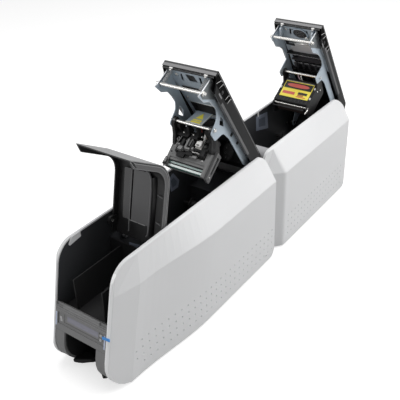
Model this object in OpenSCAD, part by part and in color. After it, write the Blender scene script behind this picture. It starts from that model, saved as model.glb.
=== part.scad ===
// Desktop ID card printer with a laminator docked behind it.
// The front cover and both lids stand open, as they do for loading.
// +X is right as seen from the front, +Y is towards the rear and +Z is up.
// The origin lies on the table, below the middle of the whole object with its lids open.
// Lengths are millimetres and angles are degrees.

/* [Body] */
// Width across both side covers
body_w = 173; // [150:1:200]
// Clear width between the rims of the side covers
bay_w = 105.6; // [100:0.2:112]
// Height of the side cover rims above the table
cover_h = 218; // [212:1:236]
// Height of the crease where the upper band of a side cover starts
crease_h = 171; // [150:1:185]
// Length of the printer
printer_l = 444; // [430:1:480]
// Length of the laminator
laminator_l = 320; // [305:1:350]
// Gap between the side covers of the two machines
module_gap = 6; // [4:0.5:12]
// Height of the rubber feet
foot_h = 3; // [2:0.5:6]
// Wall of the moulded side covers
cover_wall = 2.5; // [1.5:0.1:3]
// Lean of the printer's front from upright
front_lean = 14; // [10:0.5:18]

/* [Lids] */
// Angle between the printer lid's open and closed places
printer_lid_open = 57; // [45:1:60]
// Angle between the laminator lid's open and closed places
laminator_lid_open = 55.8; // [45:0.1:60]
// Angle between the front cover's open and closed places
front_cover_open = 103; // [90:1:108]
// Length of the printer lid from its free end to its hinge line
printer_lid_l = 254; // [250:1:258]
// Length of the laminator lid from its free end to its hinge line
laminator_lid_l = 258; // [252:1:260]
// Height that the closed lids and front cover stand above the rims
lid_proud = 2.5; // [1:0.5:4]
// Depth of the printer lid's side flanges
printer_flange_d = 28; // [22:1:32]
// Depth of the laminator lid's side flanges
laminator_flange_d = 18; // [14:1:24]
// Wall of the moulded lids and covers
lid_wall = 2.5; // [1.5:0.1:3]
// Thickness of the folded steel lid frames
sheet_t = 1.5; // [1:0.1:2]
// Height of the printer lid's hinge line above the table
printer_hinge_z = 190; // [184:0.5:192]
// Height of the laminator lid's hinge line above the table
laminator_hinge_z = 140.5; // [138:0.5:144]

/* [Card path] */
// Height of the card path above the table
path_z = 99; // [97:0.5:102]
// Width of the rubber on the card rollers
roller_l = 60; // [50:1:64]
// Radius of the transport rollers
transport_r = 7.6; // [6:0.1:8]
// Radius of the printing platen
platen_r = 8; // [7:0.1:8.4]
// Radius of the heated roller and of the roller that presses against it
heat_r = 9; // [7:0.1:10]
// Radius of the steel roller shafts
shaft_r = 3; // [2:0.1:3.5]
// Width of a card
card_w = 54; // [50:1:56]
// Teeth of the large gears
gear_teeth = 36; // [30:2:40]
// Teeth of the motor pinions
pinion_teeth = 12; // [12:2:16]
// Gear module, pitch diameter for each tooth
gear_module = 1; // [0.8:0.1:1.1]

/* [Front] */
// Height of the lower edge of the display bar
bar_low_z = 81; // [76:1:86]
// Height of the upper edge of the display bar
bar_top_z = 126; // [120:1:130]
// Width of each column beside the card outlet
column_w = 19.5; // [15:0.5:24]
// Width of the display window
window_w = 64; // [50:1:70]
// Height of the display window along the face
window_h = 9.3; // [7:0.1:12]

/* [Hidden] */
$fn = 48;
overrun = 1;
fit_gap = 0.3;
running_gap = 0.06;
corner_steps = 7;
base_edge = 10;

// Side cover outline, seen from the side
rim_x = bay_w / 2;
half_w = body_w / 2;
rim_w = 5;
front_top_y = 35;
front_top_r = 40;
front_foot_r = 50;
rear_top_r = 16;
rear_foot_r = 20;
laminator_front_r = 18;
laminator_rear_r = 26;
laminator_foot_r = 8;
laminator_y = printer_l + module_gap;
rear_y = laminator_y + laminator_l;
plan_front_x = 68;
plan_front_run = 50;
plan_swell_start = 5;
plan_swell_end = 185;
plan_steps = 12;
plan_front_y = (front_top_y * cos(front_lean) - cover_h * sin(front_lean));
bevel_run = 32;
bevel_nose_w = 4;
bevel_r = 12;
bevel_nose_r = 3;
plan_nose_r = 5;
cover_steps = 4;
plan_rear_r = 4;
cover_foot_r = 3;
crease_r = 6;
rim_r = 5;

// Tub walls between the side covers
wall_gap = 0.2;
wall_t = 2.5;
wall_in = rim_x + wall_gap;
wall_out = wall_in + wall_t;
tub_inset = cover_wall + fit_gap;
floor_z = foot_h + tub_inset;
floor_t = 2.5;
tub_top = cover_h - tub_inset;
bay_x = wall_in - fit_gap;

// Hinge lines
printer_lid_drop = cover_h + lid_proud - printer_hinge_z;
printer_hinge_set = 19;
printer_hinge_y = printer_l - printer_hinge_set;
laminator_lid_drop = cover_h + lid_proud - laminator_hinge_z;
laminator_hinge_set = 15.5;
laminator_hinge_y = rear_y - laminator_hinge_set;
front_cover_drop = 16.5;
front_hinge_z = cover_h + lid_proud - front_cover_drop;
front_hinge_run = 109.4;
front_hinge_y = front_top_y + front_hinge_run;
hinge_pin_r = 3;
front_pin_r = 2.5;
ear_r = 8.5;
lid_play = 0.8;
front_play = 2.8;
lid_half_w = rim_x - lid_play;
front_half_w = rim_x - front_play;
lid_tail = 4;
lid_slope_run = 13;
lid_slope_drop = 14;
lid_nose_d = 10.5;
lid_edge_r = 1;
lid_bend_r = 4;
lid_flank_r = 10;
lid_tail_r = 6;
lid_free_r = 2;
lid_inner_r = 3;

// Round an outline's corners: each point is [u, v, corner radius]
function unit(v) = v / norm(v);
function flat(p) = [p[0], p[1]];
function turned(v, a) = [v[0] * cos(a) - v[1] * sin(a), v[0] * sin(a) + v[1] * cos(a)];
function corner(before, at, after, r, steps = corner_steps) =
    let (back = unit(before - at))
    let (ahead = unit(after - at))
    let (half = acos(back * ahead) / 2)
    let (reach = r / tan(half))
    let (centre = at + unit(back + ahead) * r / sin(half))
    let (start = at + back * reach - centre)
    let (side = sign(back[0] * ahead[1] - back[1] * ahead[0]))
    [for (i = [0 : steps]) centre + turned(start, -side * (180 - 2 * half) * i / steps)];
function round_off(points, steps = corner_steps) =
    let (n = len(points))
    [for (i = [0 : n - 1])
        let (p = points[i])
        each (p[2] > 0 ? corner(flat(points[(i + n - 1) % n]), flat(p), flat(points[(i + 1) % n]),
            p[2], steps) : [flat(p)])];
// Move every edge of an outline that runs anticlockwise inwards by d
function left_of(a, b) = let (w = unit(b - a)) [-w[1], w[0]];
function inset(points, d) =
    let (n = len(points))
    [for (i = [0 : n - 1])
        let (a = flat(points[(i + n - 1) % n]))
        let (b = flat(points[i]))
        let (c = flat(points[(i + 1) % n]))
        let (first = left_of(a, b))
        let (next = left_of(b, c))
        let (hit = b + (first + next) * d / (1 + first * next))
        [hit[0], hit[1], points[i][2] > 0 ? max(points[i][2] - d, 0.2 * d) : 0]];

// Solids from outlines and ranges
module side_prism(x_from, x_to, points) {
    translate([x_from, 0, 0]) rotate([90, 0, 90]) linear_extrude(x_to - x_from) polygon(points);
}
module pair_prism(x_from, x_to, points) {
    side_prism(x_from, x_to, points);
    side_prism(-x_to, -x_from, points);
}
module rod(x_from, x_to, y, z, r) {
    translate([x_from, y, z]) rotate([0, 90, 0]) cylinder(h = x_to - x_from, r = r);
}
module rod_pair(x_from, x_to, y, z, r) {
    rod(x_from, x_to, y, z, r);
    rod(-x_to, -x_from, y, z, r);
}
module block(x, y, z) {
    translate([x[0], y[0], z[0]]) cube([x[1] - x[0], y[1] - y[0], z[1] - z[0]]);
}
module block_pair(x, y, z) {
    block(x, y, z);
    block([-x[1], -x[0]], y, z);
}

// Side outlines of the two bodies, anticlockwise in [y, z]
function lean_y(z) = front_top_y - (cover_h - z) * tan(front_lean);
printer_side = [
    [lean_y(foot_h), foot_h, front_foot_r], [printer_l, foot_h, rear_foot_r],
    [printer_l, cover_h, rear_top_r], [lean_y(cover_h), cover_h, front_top_r]];
laminator_side = [
    [laminator_y, foot_h, laminator_foot_r], [rear_y, foot_h, rear_foot_r],
    [rear_y, cover_h, laminator_rear_r], [laminator_y, cover_h, laminator_front_r]];

// The whole object's middle, front to back, with the lids open
laminator_rear_d = 64;
printer_rear_d = 22;
lid_reach_y = laminator_hinge_y + max([for (p = flange_outline(laminator_lid_l, laminator_lid_drop,
    laminator_rear_d, laminator_flange_d)) turned(p, -laminator_lid_open)[0]]);
front_reach_y = min([for (p = round_off(printer_side)) p[0]]);
centre_y = (lid_reach_y + front_reach_y) / 2;
module framed() {
    translate([0, -centre_y, 0]) children();
}
module on_front_cover() {
    translate([0, front_hinge_y, front_hinge_z]) rotate([-front_cover_open, 0, 0]) children();
}
module on_printer_lid() {
    translate([0, printer_hinge_y, printer_hinge_z]) rotate([-printer_lid_open, 0, 0]) children();
}
module on_laminator_lid() {
    translate([0, laminator_hinge_y, laminator_hinge_z]) rotate([-laminator_lid_open, 0, 0]) children();
}

// Section across a side cover, anticlockwise in [x, z]
cover_section = [
    [0, foot_h, 0], [half_w, foot_h, cover_foot_r], [half_w, crease_h, crease_r],
    [rim_x + rim_w, cover_h, rim_r], [0, cover_h, 0]];
// Plan of a printer side cover along the lean of the front, anticlockwise in [x, y]
function swell(t) = 3 * t * t - 2 * t * t * t;
printer_plan = concat(
    [[0, plan_front_y, 0], [rim_x + rim_w, plan_front_y, plan_nose_r],
        [plan_front_x, plan_front_y + plan_front_run, 0]],
    [for (i = [1 : plan_steps])
        [plan_front_x + (half_w - plan_front_x) * swell(i / plan_steps),
            plan_front_y + plan_front_run + (plan_swell_end - plan_swell_start) * i / plan_steps, 0]],
    [[half_w, printer_l + cover_h, 0], [0, printer_l + cover_h, 0]]);
laminator_plan = [
    [0, laminator_y, 0], [rim_x + bevel_nose_w, laminator_y, bevel_nose_r],
    [half_w, laminator_y + bevel_run, bevel_r], [half_w, rear_y, plan_rear_r], [0, rear_y, 0]];

// Section at one place of the plan: the crease and the rim keep their heights, the rim its width too
function section_at(x, section, rim, wide) = [for (p = section) [x < rim ? min(p[0], x) :
    p[0] <= rim ? p[0] : rim + (p[0] - rim) * (x - rim) / (wide - rim), p[1]]];
module cover_sweep(plan, lean, d) {
    section = round_off(cover_section_at(d), cover_steps);
    outline = round_off(plan_at(plan, d), cover_steps);
    rim = cover_section_at(d)[3][0];
    n = len(section);
    last = len(outline) - 3;
    points = [for (i = [0 : last]) let (p = outline[i + 1])
        each [for (s = section_at(p[0], section, rim, half_w - d))
            [s[0], p[1] / cos(lean) + s[1] * tan(lean), s[1]]]];
    polyhedron(points, concat(
        [[for (k = [0 : n - 1]) n - 1 - k]],
        [for (i = [0 : last - 1]) for (k = [0 : n - 1]) each [
            [i * n + k, i * n + (k + 1) % n, (i + 1) * n + (k + 1) % n],
            [i * n + k, (i + 1) * n + (k + 1) % n, (i + 1) * n + k]]],
        [[for (k = [0 : n - 1]) last * n + k]]));
}
module cover_solid(side, plan, lean, d) {
    intersection() {
        side_prism(0, body_w, round_off(inset(side, d)));
        cover_sweep(plan, lean, d);
    }
}
// The inner edge on the centre plane stays where it is
function keep_centre(points, moved) = [for (i = [0 : len(points) - 1])
    [points[i][0] == 0 ? 0 : moved[i][0], moved[i][1], moved[i][2]]];
function cover_section_at(d) = keep_centre(cover_section, inset(cover_section, d));
function plan_at(plan, d) = keep_centre(plan, inset(plan, d));

boss_r = 5;
printer_boss_shares = [[0.20, 0.14], [0.93, 0.14], [0.93, 0.80], [0.34, 0.90]];
laminator_boss_shares = [[0.16, 0.14], [0.90, 0.14], [0.90, 0.66], [0.16, 0.80]];
cover_hole_r = 1.8;
cover_hole_share = [0.93, 0.09];
module side_cover(side, plan, lean, from_y, length, boss_shares) {
    difference() {
        union() {
            intersection() {
                difference() {
                    cover_solid(side, plan, lean, 0);
                    cover_solid(side, plan, lean, cover_wall);
                }
                block([rim_x, body_w], [-cover_h, 2 * rear_y], [0, 2 * cover_h]);
            }
            intersection() {
                cover_solid(side, plan, lean, cover_wall / 2);
                for (p = boss_shares)
                    rod(wall_out, body_w, from_y + p[0] * length, p[1] * cover_h, boss_r);
            }
        }
        rod(half_w - cover_wall - overrun, body_w, from_y + cover_hole_share[0] * length,
            cover_hole_share[1] * cover_h, cover_hole_r);
    }
}
cover_white = [0.84, 0.84, 0.85];
module printer_side_cover_right() {
    color(cover_white) framed()
        side_cover(printer_side, printer_plan, front_lean, 0, printer_l, printer_boss_shares);
}
catch_t = 1.6;
catch_run = 17;
catch_l = 28;
catch_h = 13;
catch_r = 2;
catch_slope = 4;
module cover_catch() {
    y = front_top_y + catch_run;
    z = cover_h - bezel_inset;
    side_prism(-rim_x - wall_gap / 2, -rim_x + catch_t, round_off([
        [y, z - catch_h, catch_r], [y + catch_l, z - catch_h + catch_slope, catch_r],
        [y + catch_l, z, 0], [y + catch_l / 3, z, 0]]));
}
module printer_side_cover_left() {
    color(cover_white) framed() {
        mirror([1, 0, 0]) side_cover(printer_side, printer_plan, front_lean, 0, printer_l,
            printer_boss_shares);
        cover_catch();
    }
}
module laminator_side_cover_right() {
    color(cover_white) framed()
        side_cover(laminator_side, laminator_plan, 0, laminator_y, laminator_l, laminator_boss_shares);
}
module laminator_side_cover_left() {
    color(cover_white) framed() mirror([1, 0, 0])
        side_cover(laminator_side, laminator_plan, 0, laminator_y, laminator_l, laminator_boss_shares);
}

// Places along the card path
bezel_inset = 0.5;
bar_t = 14;
hopper_rear_set = 2.4;
hopper_rise = 7;
hopper_rear_y = front_hinge_y - hopper_rear_set;
hopper_floor_z = path_z + hopper_rise;
hopper_front_y = lean_y(hopper_floor_z) + (bezel_inset + bar_t) / cos(front_lean) + fit_gap;
hopper_wall = 2;
hopper_guide_h = 58;
hopper_back_drop = 33;
hopper_back_z = front_hinge_z - hopper_back_drop;
pick_y = 96;
pick_r = 10;
nip = 0.2;
pick_stand = 0.6;
shaft_z = path_z - transport_r + nip;
pick_z = hopper_floor_z - pick_r + pick_stand;
cleaning_y = 160;
cleaning_r = 7;
feed_y = 203;
head_run = 119;
platen_y = printer_hinge_y - head_run;
exit_set = 29;
exit_y = printer_l - exit_set;
card_t = 0.8;
deck_t = 2;
deck_drop = 1;
deck_set = 4;
deck_top_z = path_z - deck_drop;
deck_low_z = deck_top_z - deck_t;
deck_front_y = hopper_rear_y + deck_set;
deck_cut = 1.5;
intake_set = 30;
intake_y = laminator_y + intake_set;
heat_run = 118;
press_y = laminator_hinge_y - heat_run;
outlet_set = 36;
outlet_y = rear_y - outlet_set;
slot_room = 3;
slot_half_w = card_w / 2 + slot_room;
slot_half_h = 6.5;
spindle_r = 7;
spindle_flange_r = 12;
spindle_half_l = 38;
flange_t = 2;
supply_run = 195;
takeup_run = 79;
ribbon_rise = 33;
film_takeup_run = 62;
film_rise = 40;
film_takeup_rise = 30;
supply_y = printer_hinge_y - supply_run;
takeup_y = printer_hinge_y - takeup_run;
ribbon_z = path_z + ribbon_rise;
film_supply_y = laminator_hinge_y - supply_run;
film_takeup_y = laminator_hinge_y - film_takeup_run;
film_z = path_z + film_rise;
film_takeup_z = path_z + film_takeup_rise;
gear_pitch_r = gear_teeth * gear_module / 2;
pinion_pitch_r = pinion_teeth * gear_module / 2;
motor_z = shaft_z - gear_pitch_r - pinion_pitch_r;
rear_wall_drop = 26;
rear_panel_drop = 14;
rear_wall_top = printer_hinge_z - rear_wall_drop;
rear_panel_top = laminator_hinge_z - rear_panel_drop;
platen_cut_shift = 2;
platen_cut_rim = 4;
platen_cut_half_l = 17;
bearing_r = shaft_r + running_gap;

module shaft_holes(places, r) {
    for (p = places)
        rod(-wall_out - overrun, wall_out + overrun, p[0], p[1], r);
}
// Deck that guides the card, with cut-outs over the rollers
deck_cut_x = roller_l / 2 + deck_cut;
housing_run = 62;
housing_h = 61;
module deck(from_y, to_y, cuts) {
    difference() {
        block([-wall_in, wall_in], [from_y, to_y], [deck_low_z, deck_top_z]);
        for (c = cuts)
            block([-c[1], c[1]], [c[0] - c[2], c[0] + c[2]], [deck_low_z - overrun, deck_top_z + overrun]);
    }
}
// The walls stay clear of the covers' inner faces, also where these close in at the front
module tub_walls(side, plan, lean) {
    for (m = [0, 1])
        mirror([m, 0, 0]) intersection() {
            side_prism(wall_in, wall_out, round_off(inset(side, tub_inset)));
            cover_solid(side, plan, lean, tub_inset);
        }
}
printer_shafts = [
    [cleaning_y, shaft_z], [feed_y, shaft_z], [platen_y, shaft_z], [exit_y, shaft_z],
    [pick_y, pick_z], [supply_y, ribbon_z], [takeup_y, ribbon_z]];
chassis_black = [0.09, 0.09, 0.1];
motor_gap = 1;
motor_side = 2 * (shaft_z - max(platen_r, transport_r) - motor_z - motor_gap);
motor_boss_r = 11;
module printer_chassis() {
    tub_front_y = lean_y(foot_h) + front_foot_r * 1.35;
    color(chassis_black) framed() difference() {
        union() {
            tub_walls(printer_side, printer_plan, front_lean);
            block([-wall_in, wall_in], [tub_front_y, printer_l - tub_inset - rear_foot_r / 2], [floor_z,
                floor_z + floor_t]);
            block([-wall_in, wall_in], [printer_l - tub_inset - wall_t, printer_l - tub_inset],
                [floor_z + rear_foot_r, rear_wall_top]);
            deck(deck_front_y, printer_l - tub_inset - wall_t / 2, [
                [cleaning_y, deck_cut_x, cleaning_r + deck_cut], [feed_y, deck_cut_x,
                    transport_r + deck_cut],
                [platen_y - platen_cut_shift, bay_x - platen_cut_rim, platen_cut_half_l],
                [exit_y, deck_cut_x, transport_r + deck_cut]]);
            block([-wall_in, wall_in], [printer_hinge_y - housing_run,
                printer_hinge_y - housing_run + wall_t],
                [path_z + card_t + base_edge, path_z + housing_h]);
            block([-wall_in, wall_in], [printer_hinge_y - housing_run, printer_l - tub_inset - wall_t / 2],
                [path_z + housing_h - wall_t, path_z + housing_h]);
            side_prism(-wall_in, wall_in, [
                [printer_l - tub_inset - rear_foot_r / 2 - overrun, floor_z],
                [printer_l - tub_inset - rear_foot_r / 2, floor_z],
                [printer_l - tub_inset, floor_z + rear_foot_r / 2],
                [printer_l - tub_inset, floor_z + rear_foot_r + overrun],
                [printer_l - tub_inset - wall_t, floor_z + rear_foot_r + overrun],
                [printer_l - tub_inset - wall_t, floor_z + rear_foot_r / 2 + wall_t / 2],
                [printer_l - tub_inset - rear_foot_r / 2 - wall_t / 2, floor_z + floor_t],
                [printer_l - tub_inset - rear_foot_r / 2 - overrun, floor_z + floor_t]]);
        }
        shaft_holes(printer_shafts, bearing_r);
        shaft_holes([[front_hinge_y, front_hinge_z]], front_pin_r + running_gap);
        shaft_holes([[printer_hinge_y, printer_hinge_z]], hinge_pin_r + running_gap);
        rod(wall_in - overrun, wall_out + overrun, platen_y, motor_z, motor_boss_r);
        block([-slot_half_w, slot_half_w], [printer_l - tub_inset - 2 * wall_t, printer_l],
            [path_z - slot_half_h, path_z + slot_half_h]);
    }
}

// Steel base plates and rubber feet
foot_r = 9;
foot_shares = [0.16, 0.92];
laminator_foot_shares = [0.12, 0.90];
module base_plate(from_y, to_y) {
    block([-rim_x + wall_gap * 2, rim_x - wall_gap * 2], [from_y, to_y], [foot_h, floor_z]);
}
module feet(from_y, length, shares) {
    for (s = shares)
        for (x = [-1, 1])
            translate([x * (rim_x - foot_r - base_edge / 2), from_y + s * length,
                0]) cylinder(h = foot_h, r = foot_r);
}
steel_grey = [0.66, 0.68, 0.71];
module base_plates() {
    color(steel_grey) framed() {
        base_plate(lean_y(foot_h) + front_foot_r * 1.45, printer_l - rear_foot_r - base_edge / 2);
        base_plate(laminator_y + base_edge * 1.5, rear_y - rear_foot_r - base_edge / 2);
    }
}
module rubber_feet() {
    color([0.12, 0.12, 0.12]) framed() {
        feet(0, printer_l, foot_shares);
        feet(laminator_y, laminator_l, laminator_foot_shares);
    }
}

// Front bezel: display bar over two columns, all flush with the leaning front
column_t = 4;
column_set = 0.6;
bar_mid_z = (bar_low_z + bar_top_z) / 2;
recess_half_w = 48;
recess_low = -12.5;
recess_top = 8;
recess_d = 1.5;
bezel_grey = [0.43, 0.43, 0.44];
module on_bezel() {
    translate([0, lean_y(bar_mid_z) + bezel_inset / cos(front_lean), bar_mid_z]) rotate([-front_lean, 0,
        0]) children();
}
key_w = 4.4;
key_h = 4.2;
key_gap = 0.35;
key_t = 3;
key_travel = 0.8;
key_stem = 2.2;
left_key_gap = 13;
left_key_z = -1;
right_key_gap = 5.5;
right_key_z = 2.6;
right_key_pitch = 7.6;
window_x = 3;
window_z = 1;
key_places = [
    [window_x - window_w / 2 - left_key_gap, left_key_z],
    [window_x + window_w / 2 + right_key_gap, right_key_z],
    [window_x + window_w / 2 + right_key_gap, right_key_z - right_key_pitch]];
window_t = 1.2;
lamp_w = 2.6;
lamp_low = -17;
lamp_top = 6.5;
lamp_t = 2;
lamp_places = [-bay_x, recess_half_w];
catch_slot_w = 14;
catch_slot_x = 44.5;
catch_slot_low = 17.5;
catch_slot_d = 2;
// Land behind the bar's upper edge, before its back falls away
bar_land = 2.5;
bar_groove_z = [12.6, 16.4];
bar_groove_w = 0.7;
bar_groove_d = 0.5;
module bezel_band(set, depth, z_low, z_top, x_from, x_to) {
    intersection() {
        difference() {
            side_prism(x_from, x_to, round_off(inset(printer_side, bezel_inset + set)));
            side_prism(x_from - overrun, x_to + overrun, round_off(inset(printer_side,
                bezel_inset + set + depth)));
        }
        block([x_from, x_to], [-cover_h, front_foot_r * 0.9], [z_low, z_top]);
    }
}
module front_bezel() {
    color(bezel_grey) framed() difference() {
        union() {
            bezel_band(0, bar_t, bar_low_z, bar_top_z, -bay_x, bay_x);
            bezel_band(column_set, column_t, foot_h + bezel_inset, bar_low_z, bay_x - column_w, bay_x);
            bezel_band(column_set, column_t, foot_h + bezel_inset, bar_low_z, -bay_x, column_w - bay_x);
        }
        on_bezel() {
            block([-recess_half_w, recess_half_w], [-overrun, recess_d], [recess_low, recess_top]);
            block([window_x - window_w / 2, window_x + window_w / 2], [-overrun, recess_d + window_t],
                [window_z - window_h / 2, window_z + window_h / 2]);
            for (p = key_places)
                block([p[0] - key_w / 2 - key_gap, p[0] + key_w / 2 + key_gap], [-overrun,
                    recess_d + key_t + key_travel],
                    [p[1] - key_h / 2 - key_gap, p[1] + key_h / 2 + key_gap]);
            for (x = lamp_places)
                block([x - overrun / 2, x + lamp_w + overrun / 2], [-overrun, lamp_t], [lamp_low,
                    lamp_top]);
        }
        on_bezel() {
            block_pair([catch_slot_x - catch_slot_w / 2, catch_slot_x + catch_slot_w / 2], [-overrun,
                catch_slot_d], [catch_slot_low, bar_top_z]);
            for (z = bar_groove_z)
                block([-bay_x - overrun, bay_x + overrun], [-overrun, bar_groove_d], [z,
                    z + bar_groove_w]);
        }
        side_prism(-bay_x - overrun, bay_x + overrun, [
            [lean_y(bar_top_z) + bar_land - overrun, bar_top_z + overrun],
            [lean_y(bar_top_z) + bar_land + bar_t + overrun, bar_top_z - bar_t - overrun],
            [lean_y(bar_top_z) + bar_land + bar_t + overrun, bar_top_z + overrun]]);
    }
}
module display_window() {
    color([0.46, 0.45, 0.52]) framed() on_bezel()
        block([window_x - window_w / 2, window_x + window_w / 2], [recess_d, recess_d + window_t],
            [window_z - window_h / 2, window_z + window_h / 2]);
}
module key(place) {
    color([0.62, 0.63, 0.64]) framed() on_bezel()
        block([place[0] - key_w / 2, place[0] + key_w / 2], [recess_d - key_travel,
            recess_d + key_t - fit_gap],
            [place[1] - key_h / 2, place[1] + key_h / 2]);
}
module left_key() {
    key(key_places[0]);
}
module upper_right_key() {
    key(key_places[1]);
}
module lower_right_key() {
    key(key_places[2]);
}
module status_lamps() {
    color([0.72, 0.78, 0.90]) framed() on_bezel()
        for (x = lamp_places)
            block([x, x + lamp_w], [0, lamp_t], [lamp_low, lamp_top]);
}
tab_l = 15;
tab_h = 4.5;
tab_t = 0.6;
tab_z = -8;
tab_lean = 6;
module film_pull_tab() {
    color([0.2, 0.45, 0.8]) framed() on_bezel() rotate([0, -tab_lean, 0])
        block([rim_x - tab_l / 2, rim_x + tab_l / 2], [-bezel_inset - fit_gap - tab_t,
            -bezel_inset - fit_gap],
            [tab_z - tab_h / 2 + bay_x * sin(tab_lean), tab_z + tab_h / 2 + bay_x * sin(tab_lean)]);
}

// Card outlet bowl below the display bar, its floor split by a slot for a finger
outlet_half_w = bay_x - column_w - fit_gap;
outlet_wall = 2;
outlet_back_y = hopper_rear_y - base_edge;
bowl_low_z = floor_z + 5 * fit_gap + floor_t;
bowl_top_z = pick_z - pick_r - 4 * fit_gap;
// Back of the display bar at the bowl's upper edge
bar_back_y = lean_y(bowl_top_z) + (bezel_inset + bar_t) / cos(front_lean);
tongue_y = 16.5;
tongue_r = 12;
finger_slot_w = 12;
finger_slot_l = 34;
finger_slot_r = 5;
finger_slot = [
    [-bay_x, -cover_h, 0], [bay_x, -cover_h, 0], [bay_x, tongue_y, 0],
    [finger_slot_w / 2, tongue_y, tongue_r], [finger_slot_w / 2, tongue_y + finger_slot_l, finger_slot_r],
    [-finger_slot_w / 2, tongue_y + finger_slot_l, finger_slot_r], [-finger_slot_w / 2, tongue_y, tongue_r],
    [-bay_x, tongue_y, 0]];
module card_outlet_bowl() {
    color(chassis_black) framed() difference() {
        intersection() {
            side_prism(-outlet_half_w, outlet_half_w, round_off(inset(printer_side,
                bezel_inset + column_set + column_t + fit_gap)));
            block([-outlet_half_w, outlet_half_w], [-cover_h, outlet_back_y], [bowl_low_z, bowl_top_z]);
        }
        block([-outlet_half_w + outlet_wall, outlet_half_w - outlet_wall], [-cover_h,
            outlet_back_y - outlet_wall], [bowl_low_z + outlet_wall, bowl_top_z - outlet_wall]);
        block([-outlet_half_w - overrun, outlet_half_w + overrun], [-cover_h, bar_back_y + fit_gap],
            [bar_low_z - fit_gap, cover_h]);
        intersection() {
            translate([0, 0, bowl_low_z - overrun]) linear_extrude(outlet_wall + 2 * overrun)
                polygon(round_off(finger_slot));
            block([-outlet_half_w + outlet_wall, outlet_half_w - outlet_wall], [-cover_h, outlet_back_y],
                [0, cover_h]);
        }
    }
}

// Input hopper with its guides
card_play = 1;
gate_h = 2;
module card_hopper() {
    guide_x = card_w / 2 + card_play;
    color([0.11, 0.11, 0.12]) framed() difference() {
        union() {
            block([-bay_x, bay_x], [hopper_front_y, hopper_rear_y], [hopper_floor_z - hopper_wall,
                hopper_floor_z]);
            block([-bay_x, bay_x], [hopper_rear_y - hopper_wall, hopper_rear_y], [hopper_floor_z,
                hopper_back_z]);
            block_pair([guide_x, guide_x + hopper_wall], [hopper_front_y + base_edge, hopper_rear_y],
                [hopper_floor_z, hopper_floor_z + hopper_guide_h]);
        }
        block([-roller_l / 2 - deck_cut, roller_l / 2 + deck_cut], [pick_y - pick_r, pick_y + pick_r],
            [hopper_floor_z - 2 * hopper_wall, hopper_floor_z + overrun]);
        block([-card_w / 2, card_w / 2], [hopper_rear_y - 2 * hopper_wall, hopper_rear_y + overrun],
            [hopper_floor_z, hopper_floor_z + gate_h]);
    }
}
// Rollers, spindles, pulleys and gears
pulley_r = 10;
pulley_gap = 2.5;
pulley_x = wall_out + pulley_gap;
collar_t = 1.5;
gear_gap = 2;
pulley_w = 6;
belt_t = 1.5;
belt_gap = 0.3;
gear_x = pulley_x + pulley_w + gear_gap;
gear_w = 5;
rubber_black = [0.14, 0.14, 0.15];
module roller(y, z, r, half_l, right_end) {
    rod(-half_l, half_l, y, z, r);
    rod(-wall_out, right_end, y, z, shaft_r);
}
module driven_roller(y, z, r, half_l) {
    roller(y, z, r, half_l, pulley_x + pulley_w);
    rod(pulley_x, pulley_x + pulley_w, y, z, pulley_r);
    rod(wall_out + fit_gap, pulley_x, y, z, shaft_r + collar_t);
}
module idle_roller(y, z, r, half_l, end_r) {
    rod(-half_l, half_l, y, z, r);
    rod(-wall_out, wall_out, y, z, end_r);
}
module spindle(y, z) {
    idle_roller(y, z, spindle_r, spindle_half_l, shaft_r);
    rod_pair(spindle_half_l - flange_t, spindle_half_l, y, z, spindle_flange_r);
}
// One tooth every turn share, with straight flanks
module gear_outline(teeth, first) {
    pitch_r = teeth * gear_module / 2;
    tip_r = pitch_r + 0.85 * gear_module;
    root_r = pitch_r - 1.2 * gear_module;
    step = 360 / teeth;
    polygon([for (i = [0 : teeth - 1])
        each [
            root_r * [cos(first + step * (i - 0.34)), sin(first + step * (i - 0.34))],
            pitch_r * [cos(first + step * (i - 0.21)), sin(first + step * (i - 0.21))],
            tip_r * [cos(first + step * (i - 0.09)), sin(first + step * (i - 0.09))],
            tip_r * [cos(first + step * (i + 0.09)), sin(first + step * (i + 0.09))],
            pitch_r * [cos(first + step * (i + 0.21)), sin(first + step * (i + 0.21))],
            root_r * [cos(first + step * (i + 0.34)), sin(first + step * (i + 0.34))]]]);
}
module gear(y, z, teeth, first) {
    translate([gear_x, y, z]) rotate([90, 0, 90]) linear_extrude(gear_w) gear_outline(teeth, first);
}
module pick_roller() {
    color(rubber_black) framed() idle_roller(pick_y, pick_z, pick_r, roller_l / 2, shaft_r);
}
module cleaning_roller() {
    color([0.75, 0.75, 0.72]) framed() driven_roller(cleaning_y, shaft_z, cleaning_r, roller_l / 2);
}
module feed_roller() {
    color(rubber_black) framed() driven_roller(feed_y, shaft_z, transport_r, roller_l / 2);
}
module platen_roller() {
    color(rubber_black) framed() {
        driven_roller(platen_y, shaft_z, platen_r, roller_l / 2);
        rod(pulley_x, gear_x + gear_w, platen_y, shaft_z, shaft_r);
        gear(platen_y, shaft_z, gear_teeth, -90);
    }
}
module exit_roller() {
    color(rubber_black) framed() driven_roller(exit_y, shaft_z, transport_r, roller_l / 2);
}
module belt_loop(from_y, to_y) {
    inner_r = pulley_r + belt_gap;
    outer_r = inner_r + belt_t;
    translate([0, 0, shaft_z]) difference() {
        union() {
            rod(pulley_x, pulley_x + pulley_w, from_y, 0, outer_r);
            rod(pulley_x, pulley_x + pulley_w, to_y, 0, outer_r);
            block([pulley_x, pulley_x + pulley_w], [from_y, to_y], [-outer_r, outer_r]);
        }
        rod(pulley_x - overrun, pulley_x + pulley_w + overrun, from_y, 0, inner_r);
        rod(pulley_x - overrun, pulley_x + pulley_w + overrun, to_y, 0, inner_r);
        block([pulley_x - overrun, pulley_x + pulley_w + overrun], [from_y, to_y], [-inner_r, inner_r]);
    }
}
module printer_belt() {
    color([0.1, 0.1, 0.1]) framed() belt_loop(cleaning_y, exit_y);
}
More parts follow.
